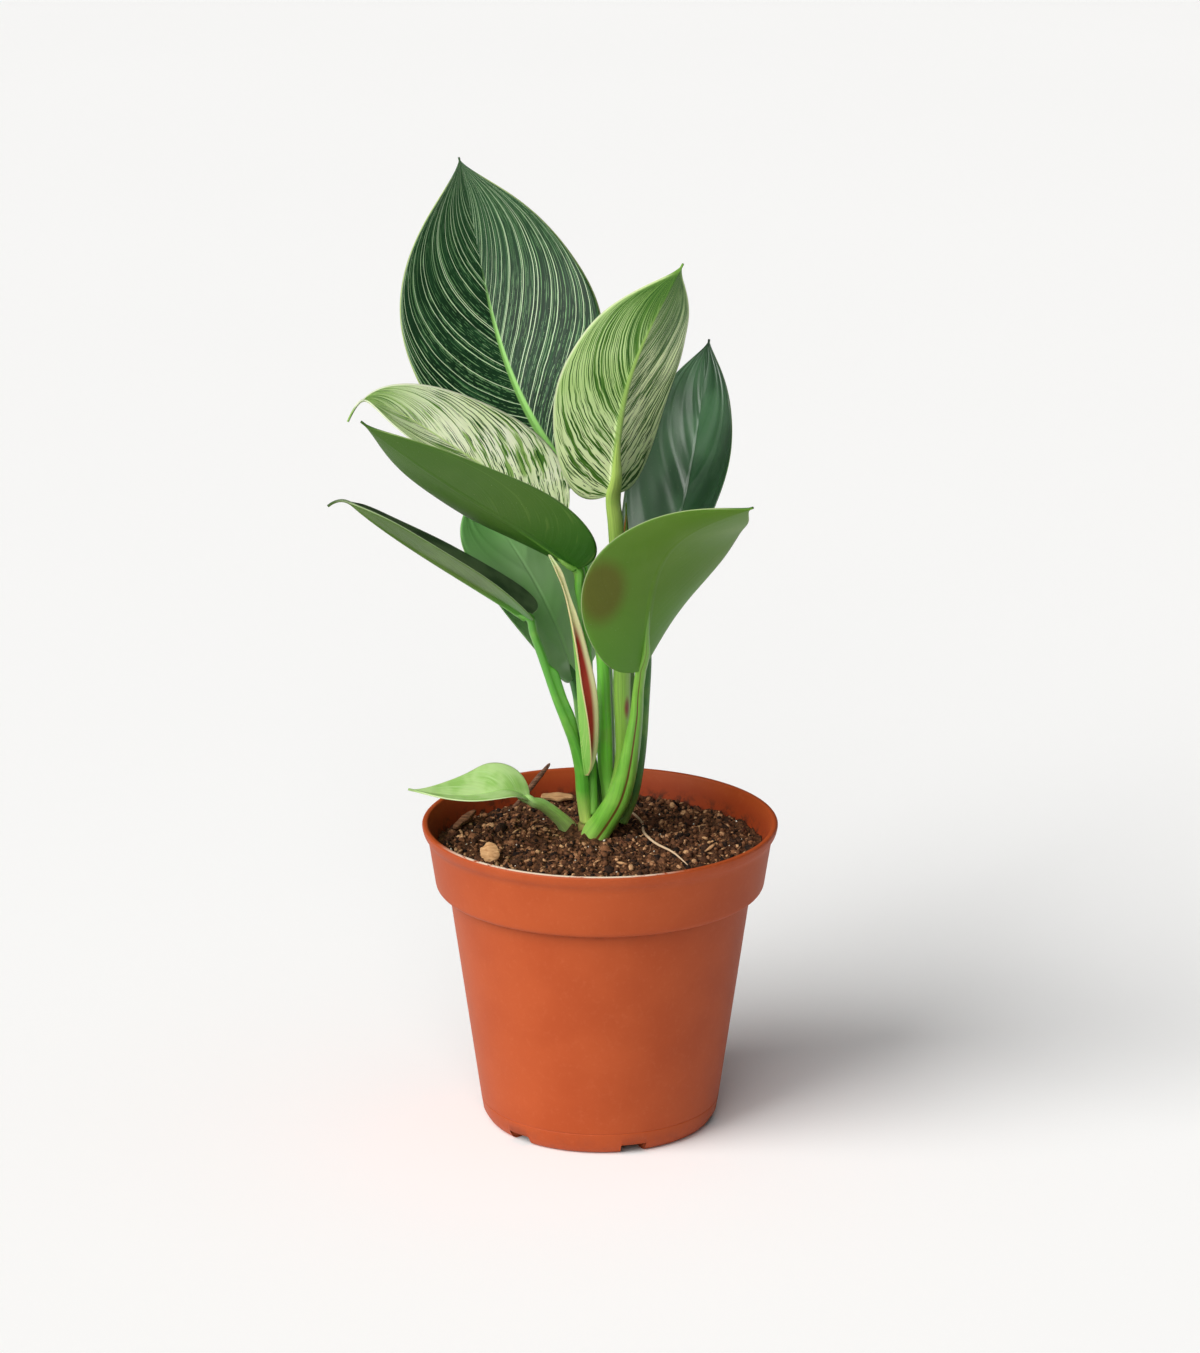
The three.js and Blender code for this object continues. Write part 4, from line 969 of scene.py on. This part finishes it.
def blade_side(f, look):
    """The colour of one face of a blade: a ground of two tones, a painted lighter tone on the left half where
    it lies in shade, others towards base and tip, strokes that follow the veins, thin lines along the veins,
    painted shadows in ellipsoids, the midrib and the margin, in that order."""
    vein, rib, along = f.value("vein"), f.value("rib"), f.value("along")
    side = f.math("SIGN", f.value("across"))
    line = f.plus(vein, f.times(side, STROKES["halves_apart"]))
    broad = f.noise(f.place(), look.get("patch", 0.06), 2.0)
    colour = f.mix(f.band(broad, 0.35, 0.65), look["ground"], look["second"])
    # painted light: the left half, which faces away from the lights, is laid over with a paler tone
    if "left" in look:
        tone, share = look["left"]
        colour = f.lay(colour, tone, f.band(side, 0.5, -0.5), share)
    for key in ("base", "tip"):
        if key in look:
            tone, full, none = look[key]
            colour = f.lay(colour, tone, f.band(along, none, full))
    for tone, *how in look.get("streaks", ()):
        colour = f.lay(colour, tone, stroke(f, look, line, rib, along, *how))
    for tone, *how in look.get("lines", ()):
        colour = f.lay(colour, tone, vein_line(f, line, rib, along, *how))
    # painted shadows: each ellipsoid lays a darker tone where another leaf's shade falls on the blade
    for middle, half, tone, core in look.get("stains_and_shadows", ()):
        colour = f.lay(colour, tone, ellipsoid(f, middle, half, core))
    if "rib" in look:
        tone, width, end, strength = look["rib"]
        taper = f.math("MAXIMUM", f.math("MULTIPLY_ADD", along, -width / (1.1 * end), width), 0.1)
        on_rib = f.band(f.ratio(rib, taper), 1.0, 0.55)
        colour = f.lay(colour, tone, on_rib, strength, f.band(along, end, end * 0.6))
    if "margin" in look:
        tone, width = look["margin"]
        colour = f.lay(colour, tone, f.band(f.value("margin"), width, width * 0.4), f.band(along, 0.97, 0.92))
    return colour


def leaf_tissue(name, roughness, scatter, **constants):
    """A skin that lets light wander a little inside it."""
    return Finish(name, roughness, Subsurface_Weight=GREEN_TISSUE, Subsurface_Scale=scatter,
                  Subsurface_Radius=(0.6, 1.0, 0.3), **constants)


def blade_finish(name, upper, lower, roughness, gloss, veins, creases=0.0):
    """A leaf blade: its upper and lower faces differ in colour, the veins stand in low relief, broad
    creases run with them, and the skin has a fine grain. Veins and creases are heights in millimetres."""
    f = leaf_tissue(name, roughness, 0.0012, Specular_IOR_Level=gloss)
    colour = f.mix(f.value("face"), blade_side(f, lower), blade_side(f, upper))
    speck = f.noise(f.place(), 2.2, 3.0, 0.6)
    colour = f.lay(colour, f.mix(0.35, colour, (215, 225, 180)), f.band(speck, 0.66, 0.80))
    vein = f.ratio(f.value("vein"), BLADE["vein_gap"] / 3)
    ridges = f.node("TexNoise", {"W": vein, "Scale": 1.0, "Detail": 2.0}, "Fac", noise_dimensions="1D")
    relief = f.bump(ridges, veins)
    if creases:
        side = f.math("SIGN", f.value("across"))
        sheet = f.join(f.ratio(f.value("vein"), 11.0), f.ratio(f.value("rib"), 18.0), side)
        relief = f.bump(f.noise(sheet, 1.0, 1.0, 0.4, 0.5), creases, relief)
    return f.finish(colour, f.bump(f.noise(f.place(), 6.0, 2.0), 0.02, relief))


def stalk_finish(name, tones, groove, stains_and_shadows):
    """A leaf stalk: four tones from foot to midrib, fine lengthwise fibres, a tone in the groove, which
    fades out towards its end, and stains in ellipsoids."""
    f = leaf_tissue(name, 0.4, 0.0015)
    foot, middle, top, rib = tones
    along = f.value("along")
    colour = f.ramp(along, [(0.0, foot), (0.13, middle), (0.55, middle), (0.8, top), (0.97, rib)])
    fibre = f.noise(f.join(f.times(f.value("turn"), 26.0), f.times(along, 5.0)), 1.0, 3.0, 0.6)
    colour = f.lay(colour, f.mix(0.6, colour, (30, 80, 25)), f.band(fibre, 0.35, 0.75), 0.5)
    broad = f.noise(f.place(), 0.12, 2.0)
    colour = f.lay(colour, (150, 195, 85), f.band(broad, 0.45, 0.7), 0.4)
    tone, low, high, end = groove
    colour = f.lay(colour, tone, f.band(f.value("groove"), low, high), f.band(along, end, end * 0.5))
    for middle, half, tone, core in stains_and_shadows:
        colour = f.lay(colour, tone, ellipsoid(f, middle, half, core))
    return f.finish(colour, f.bump(fibre, 0.12))


def ellipsoid(f, middle, half, core):
    """0 outside an ellipsoid and 1 within its core, which is that share of it, smooth between."""
    local = f.place(tuple(1000.0 / h for h in half), Location=tuple(-m / h for m, h in zip(middle, half)))
    return f.band(f.length(local), 1.0, core)


def pot_finish():
    """Moulded terracotta-coloured plastic: a faint mottle, scuffs, chalky lime on top of the lip at the
    front left, painted shade over the inside wall, earth dusted on the inside, and blotches that are
    darker towards the base."""
    f = Finish("terracotta_plastic", 0.52, Specular_IOR_Level=0.2)
    at = f.place()
    parts = f.node("SeparateXYZ", {"Vector": at}).node.outputs
    z, radius = parts["Z"], f.length(f.join(parts["X"], parts["Y"]))
    mottle = f.band(f.noise(at, 0.05, 3.0, 0.55), 0.3, 0.7)
    scuffs = f.band(f.noise(at, 0.6, 4.0, 0.65), 0.5, 0.8)
    blotches = f.noise(at, 0.35, 5.0, 0.7)
    lime = f.noise(f.node("Mapping", {"Vector": at, "Scale": (0.25, 0.25, 1.6)}), 1.0, 4.0, 0.7)
    middle_of_wall = f.plus(f.times(z, 0.149), 37.3)
    inside = f.times(f.band(f.minus(middle_of_wall, radius), 0.5, 0.9), f.band(z, 70, 74))
    lip_top = f.times(f.band(z, 91.2, 91.6), f.band(radius, 52.2, 51.8))
    to_front_left = f.node("VectorMath", {0: at, 1: (-0.3, -0.95, 0.0)}, "Value", operation="DOT_PRODUCT")
    colour = f.mix(mottle, (168, 72, 31), (175, 78, 36))
    colour = f.lay(colour, (190, 100, 62), scuffs, 0.25)
    # painted shade: the whole inside wall above the soil is darkened
    colour = f.lay(colour, (150, 55, 28), inside, 0.55)
    colour = f.lay(colour, (84, 46, 30), inside, f.band(z, 88, 83.5), f.band(blotches, 0.46, 0.62))
    chalk = f.times(f.times(lip_top, f.band(to_front_left, 34, 47)), f.band(lime, 0.36, 0.5))
    colour = f.lay(colour, (240, 222, 200), chalk, 0.9)
    # darker towards the base, in blotches
    colour = f.lay(colour, (150, 70, 42), f.band(z, 9, 1), f.band(blotches, 0.45, 0.7), 0.5)
    return f.finish(colour, f.bump(f.noise(at, 3.0, 3.0, 0.6), 0.03))


def soil_finish():
    """Damp peat: near black between lumps, brown on them, with fine fibres and a rough skin."""
    f = Finish("potting_soil", 0.95, Specular_IOR_Level=0.2)
    lump = f.noise(f.place(), 1.1, 6.0, 0.7)
    stops = [(0.3, (24, 14, 9)), (0.5, (88, 56, 35)), (0.66, (140, 94, 60)), (0.8, (196, 148, 104))]
    colour = f.ramp(lump, stops)
    return f.finish(colour, f.bump(f.noise(f.place(), 4.0, 3.0, 0.6), 0.25, f.bump(lump, 0.9)))


def grain_finish(name, stops, roughness, relief):
    """Loose grains: each has its own tone, mottled and roughened."""
    f = Finish(name, roughness, Specular_IOR_Level=0.25)
    mottle = f.times(f.minus(f.noise(f.place(), 1.6, 4.0, 0.65), 0.5), 0.7)
    colour = f.ramp(f.math("ADD", f.value("tone"), mottle, clamp=True), stops)
    return f.finish(colour, f.bump(f.noise(f.place(), 3.0, 3.0, 0.65), relief))


def bark_finish(name, tones, turn):
    """Split wood: a fibrous grain of two tones along the bit, which is turned that many degrees."""
    f = Finish(name, 0.85, Specular_IOR_Level=0.25)
    fibre = f.noise(f.place((260.0, 2400.0, 2400.0), Rotation=(0, 0, -math.radians(turn))), 1.0, 4.0, 0.6)
    return f.finish(f.mix(f.band(fibre, 0.35, 0.65), *tones), f.bump(fibre, 0.25))


def crown_finish():
    """The stem's stub: green, with brown patches of old leaf scars."""
    f = Finish("crown_skin", 0.6)
    return f.finish(f.mix(f.noise(f.place(), 0.5, 3.0), (96, 120, 50), (150, 124, 70)))


def floor_finish():
    """Matte white, all but even."""
    f = Finish("floor", 0.9, Specular_IOR_Level=0.1)
    return f.finish(f.mix(f.noise(f.place(1.0), 2.0), (253, 253, 253), (255, 255, 255)))


# ---- looks of the leaves and grains -------------------------------------------------------------
# The looks of a blade's two faces, which blade_side() draws:
#   ground, second  the two tones of the ground
#   patch           how fine they mix, in lumps per mm
#   base, tip       (tone, share of the length where it is full, where it ends)
#   left  (tone, strength) of a painted lighter tone over the left half, where it lies in shade
#   streaks         (tone, cover, width, length, seed) of each kind of stroke
#   lines           (tone, gap, thinnest, thickest, share, dash, end, seed) of each set of thin lines
#   stains_and_shadows  (middle, half sizes, tone, core) of each ellipsoid, a painted shadow on a blade
#   rib, margin     (tone, half width, end, strength) of the midrib, and (tone, width) of the margin
#   clear           how far from the margin strokes begin, and where they are whole
#   patchy, drift   how much denser strokes are here and there, and towards the tip
PINSTRIPE = (208, 232, 188)
STRIPED_UPPER = dict(
    ground=(12, 44, 20), second=(20, 56, 28), patch=0.05, tip=((26, 64, 32), 0.95, 0.5),
    streaks=[((36, 78, 44), 0.45, 0.6, 9, 3.1)],
    lines=[((98, 142, 92), 0.95, 0.08, 0.2, 0.4, 1.3, 1.5, 5.2),
           ((136, 176, 122), 2.3, 0.07, 0.18, 0.42, 3.0, 1.3, 8.4),
           (PINSTRIPE, 4.4, 0.13, 0.28, 0.88, 9, 1.35, 1.4)],
    rib=((146, 202, 108), 2.0, 0.76, 1.0), margin=((190, 206, 140), 0.5))
PLAIN_UNDER = dict(
    ground=(68, 104, 34), second=(74, 109, 41), patch=0.05, base=((42, 95, 18), 0.05, 0.5),
    streaks=[((82, 117, 47), 0.38, 1.6, 30, 2.2)],
    rib=((92, 142, 50), 1.1, 0.4, 0.6), margin=((150, 176, 104), 0.3))
FRONT_UNDER = dict(
    ground=(89, 127, 42), second=(96, 132, 50), patch=0.05, base=((94, 144, 52), 0.0, 0.35),
    # painted shadow: a brownish olive patch on the lower left, where another leaf shades this blade
    stains_and_shadows=[((0.6, -29, 170), (9.2, 17, 13.5), (94, 99, 37), 0.45)],
    rib=((104, 148, 58), 0.8, 0.45, 0.3), margin=((170, 186, 128), 0.35))
FOLDED_UNDER = dict(
    ground=(76, 106, 40), second=(90, 120, 52), patch=0.08, base=((70, 128, 44), 0.0, 0.3),
    rib=((96, 156, 58), 1.2, 0.5, 0.7), margin=((150, 168, 122), 0.35))
FOLDED_UPPER = dict(
    ground=(50, 72, 44), second=(80, 100, 68), patch=0.1,
    rib=((64, 108, 62), 0.6, 0.4, 0.5), margin=((120, 140, 104), 0.3))
DARK_UPPER = dict(
    ground=(32, 70, 38), second=(62, 100, 66), patch=0.05, margin=((84, 112, 72), 0.2))
# painted light: the back left leaf's upper face lies in the shade of the leaves before it, so it is painted a
# far paler, greyer green than the same dark face of the right back leaf
PAINTED_LIGHT_BACK_UPPER = dict(
    ground=(126, 176, 106), second=(150, 190, 132), patch=0.05, tip=((118, 182, 98), 0.9, 0.5),
    margin=((140, 168, 120), 0.25))
CREAM_UPPER = dict(
    ground=(228, 242, 190), second=(246, 252, 220), patch=0.07, patchy=0.3, tip=((150, 186, 98), 0.88, 0.4),
    streaks=[((148, 184, 100), 0.44, 1.1, 7, 1.3), ((78, 124, 46), 0.44, 0.8, 5.5, 6.1),
             ((36, 78, 26), 0.41, 0.62, 4.4, 9.6)],
    lines=[((52, 94, 34), 1.4, 0.08, 0.24, 0.42, 3, 1.3, 2.6)],
    rib=((186, 212, 132), 1.0, 0.9, 0.8), margin=((226, 232, 204), 0.7), clear=(0.2, 1.0))
# painted light: the left half of this lower face lies in shade and is painted nearly white-green
CREAM_UNDER = dict(
    ground=(172, 202, 126), second=(190, 216, 148), patch=0.05, base=((228, 242, 186), 0.06, 0.4),
    tip=((104, 146, 58), 0.98, 0.5), left=((242, 255, 200), 0.9), patchy=0.06, drift=0.1,
    streaks=[((76, 120, 42), 0.51, 0.8, 10, 3.7), ((46, 88, 26), 0.46, 0.6, 7, 5.9)],
    lines=[((46, 86, 26), 1.5, 0.08, 0.22, 0.4, 3, 1.3, 3.3)],
    rib=((160, 196, 100), 1.4, 0.95, 0.9), margin=((186, 206, 144), 0.8), clear=(0.3, 1.6))
YOUNG_UPPER = dict(
    ground=(146, 188, 100), second=(176, 206, 136), patch=0.16,
    streaks=[((170, 204, 132), 0.42, 0.9, 10, 1.9)],
    rib=((140, 192, 94), 0.5, 0.9, 0.6), margin=((196, 216, 160), 0.4))
DARK_UNDER = dict(PLAIN_UNDER, ground=(62, 100, 48), second=(74, 112, 58), base=((58, 100, 44), 0.0, 0.4))
# Each blade's slot, upper and lower face, roughness, gloss, and the heights of its veins and creases.
BLADE_SKINS = {
    "striped_leaf": ("striped_blade", STRIPED_UPPER, DARK_UNDER, 0.42, 0.3, 0.05, 0.2),
    "pale_upright_leaf": ("cream_blade", CREAM_UPPER, CREAM_UNDER, 0.46, 0.2, 0.05, 0.1),
    "pale_arching_leaf": ("cream_blade", CREAM_UPPER, CREAM_UNDER, 0.44, 0.2, 0.05, 0.1),
    "left_front_leaf": ("green_blade", DARK_UPPER, PLAIN_UNDER, 0.45, 0.15, 0.05, 0.1),
    "right_front_leaf": ("green_blade", DARK_UPPER, FRONT_UNDER, 0.45, 0.1, 0.03, 0.1),
    "left_folded_leaf": ("green_blade", FOLDED_UPPER, FOLDED_UNDER, 0.42, 0.12, 0.05, 0.3),
    "right_back_leaf": ("dark_blade", DARK_UPPER, DARK_UNDER, 0.37, 0.8, 0.0, 2.0),
    "left_back_leaf": ("dark_blade", PAINTED_LIGHT_BACK_UPPER, DARK_UNDER, 0.38, 0.8, 0.0, 1.2),
    "small_leaf": ("young_blade", YOUNG_UPPER, YOUNG_UPPER, 0.42, 0.3, 0.05, 0.1),
}
# Each sheath's outside and inside, with the same keys as the blades' faces.
SHEATH_SKINS = {
    "front_sheath": (
        dict(ground=(182, 54, 42), second=(198, 76, 58), base=((120, 30, 18), 0.06, 0.2),
             tip=((240, 254, 190), 0.72, 0.56), margin=((248, 246, 186), 2.2)),
        dict(ground=(120, 182, 76), second=(140, 192, 92), streaks=[((176, 206, 120), 0.42, 0.6, 14, 2.9)],
             tip=((226, 230, 164), 0.95, 0.7), margin=((226, 196, 140), 0.4))),
    "back_sheath": (
        dict(ground=(120, 150, 62), second=(150, 160, 80), margin=((190, 120, 60), 0.5)),
        dict(ground=(70, 116, 40), second=(100, 136, 52), margin=((186, 112, 58), 0.5))),
}
SHEATH = {"rows": 110, "columns": 49, "roughness": 0.5, "gloss": 0.2, "veins": 0.06}
# Each stalk's slot, its tones at foot, middle, top and midrib, its groove (tone, where it begins and is
# full, share of the stalk where it ends) and its stains.
FOOT, PLAIN = (150, 205, 100), ((60, 110, 40), 0.7, 1.0, 1.0)
STALK_SKINS = {
    # painted light: this stalk's middle tone is a brighter green than its own, to make up for the shade of
    # the leaves over it
    "striped_leaf": ("green_stalk", FOOT, (134, 226, 76), (126, 206, 78), (150, 206, 116), PLAIN, ()),
    "pale_upright_leaf": ("pale_stalk", FOOT, (150, 200, 78), (186, 214, 108), (178, 208, 104), PLAIN,
                          [((8.2, -1.2, 126), (1.5, 3, 5.4), (132, 56, 26), 0.5)]),
    "pale_arching_leaf": ("pale_stalk", FOOT, (140, 190, 80), (176, 208, 112), (190, 214, 130), PLAIN, ()),
    "left_front_leaf": ("green_stalk", FOOT, (92, 170, 56), (104, 172, 58), (96, 150, 54), PLAIN, ()),
    "right_front_leaf": ("green_stalk", (184, 226, 116), (112, 174, 58), (134, 192, 68), (104, 152, 60),
                         ((96, 58, 24), 0.72, 0.97, 1.15), ()),
    "left_folded_leaf": ("green_stalk", (206, 220, 120), (92, 168, 54), (92, 164, 58), (96, 150, 56),
                         ((40, 96, 34), 0.2, 0.7, 0.45), ()),
    "right_back_leaf": ("dark_stalk", FOOT, (74, 134, 58), (64, 112, 58), (60, 100, 50), PLAIN, ()),
    "left_back_leaf": ("dark_stalk", FOOT, (74, 134, 58), (64, 112, 58), (60, 100, 50), PLAIN, ()),
    # painted light: this stalk's tones are paler than its own green, to make up for the shade its blade casts
    # on it
    "small_leaf": ("green_stalk", FOOT, (200, 238, 146), (190, 232, 144), (160, 212, 114),
                   ((176, 222, 122), 0.7, 1.0, 1.0), ()),
}
# The colours of loose grains: stops of (each grain's own tone, colour), roughness, relief in mm.
GRAIN_TONES = {
    "peat_grain": (
        [(0.1, (28, 17, 11)), (0.5, (86, 54, 34)), (0.85, (138, 92, 60)), (1.0, (206, 160, 116))], 0.9, 0.2),
    "bark_grain": ([(0.1, (80, 46, 29)), (0.5, (134, 86, 56)), (0.98, (214, 168, 120))], 0.9, 0.2),
    "perlite_grain": ([(0.1, (190, 180, 160)), (0.9, (236, 230, 214))], 0.8, 0.1),
    "root_skin": ([(0.0, (206, 176, 142)), (0.6, (238, 220, 196))], 0.8, 0.08),
    "fine_root_skin": ([(0.0, (70, 46, 34)), (0.9, (150, 108, 76))], 0.85, 0.05),
}


# ---- the whole plant ----------------------------------------------------------------------------
def dress(piece, material):
    """Gives a piece its only material."""
    piece.data.materials.append(material)


def make_floor():
    """A wide pale plane under the pot."""
    corner = 6000
    signs = ((-1, -1), (1, -1), (1, 1), (-1, 1))
    points = [(x * corner * MM, y * corner * MM, 0) for x, y in signs]
    mesh = bpy.data.meshes.new("floor")
    mesh.from_pydata(points, [], [(0, 1, 2, 3)])
    floor = bpy.data.objects.new("floor", mesh)
    bpy.context.scene.collection.objects.link(floor)
    dress(floor, floor_finish())


def make_leaves():
    """Each leaf's blade, then each leaf's stalk, then the sheaths, which are shaped as narrow blades."""
    for name, (slot, *look) in BLADE_SKINS.items():
        rings, values = blade_rings(LEAVES[name])
        blade = skin(f"{name}_surface", rings, values, slot=slot, stands_for=[f"{name}_blade"])
        dress(blade, blade_finish(f"{name}_skin", *look))
    for name, (slot, *tones, groove, stains_and_shadows) in STALK_SKINS.items():
        rings, values = stalk_rings(name)
        stalk = skin(f"{name}_stem", rings, values, slot=slot, stands_for=[f"{name}_stalk"])
        dress(stalk, stalk_finish(f"{name}_stem_skin", tones, groove, stains_and_shadows))
    for name, (upper, lower) in SHEATH_SKINS.items():
        rings, values = blade_rings(LEAVES[name], SHEATH["rows"], SHEATH["columns"])
        sheath = skin(f"{name}_surface", rings, values, slot="sheath", stands_for=[name])
        how = (SHEATH["roughness"], SHEATH["gloss"], SHEATH["veins"])
        dress(sheath, blade_finish(f"{name}_skin", upper, lower, *how))


def main():
    """Sets the stage, then makes each piece and its material."""
    make_camera()
    make_lights()
    make_floor()
    dress(make_pot(), pot_finish())
    dress(make_soil(), soil_finish())
    skins = {name: grain_finish(name, *tones) for name, tones in GRAIN_TONES.items()}
    for name, (*_, look) in GRAINS.items():
        dress(make_grains(name), skins[look])
    for root, look in zip(make_roots(), ("root_skin", "fine_root_skin")):
        dress(root, skins[look])
    for name, bit in BITS.items():
        dress(make_bit(name), bark_finish(f"{name}_skin", bit["tones"], bit["turn"][2]))
    dress(make_crown(), crown_finish())
    make_leaves()


main()
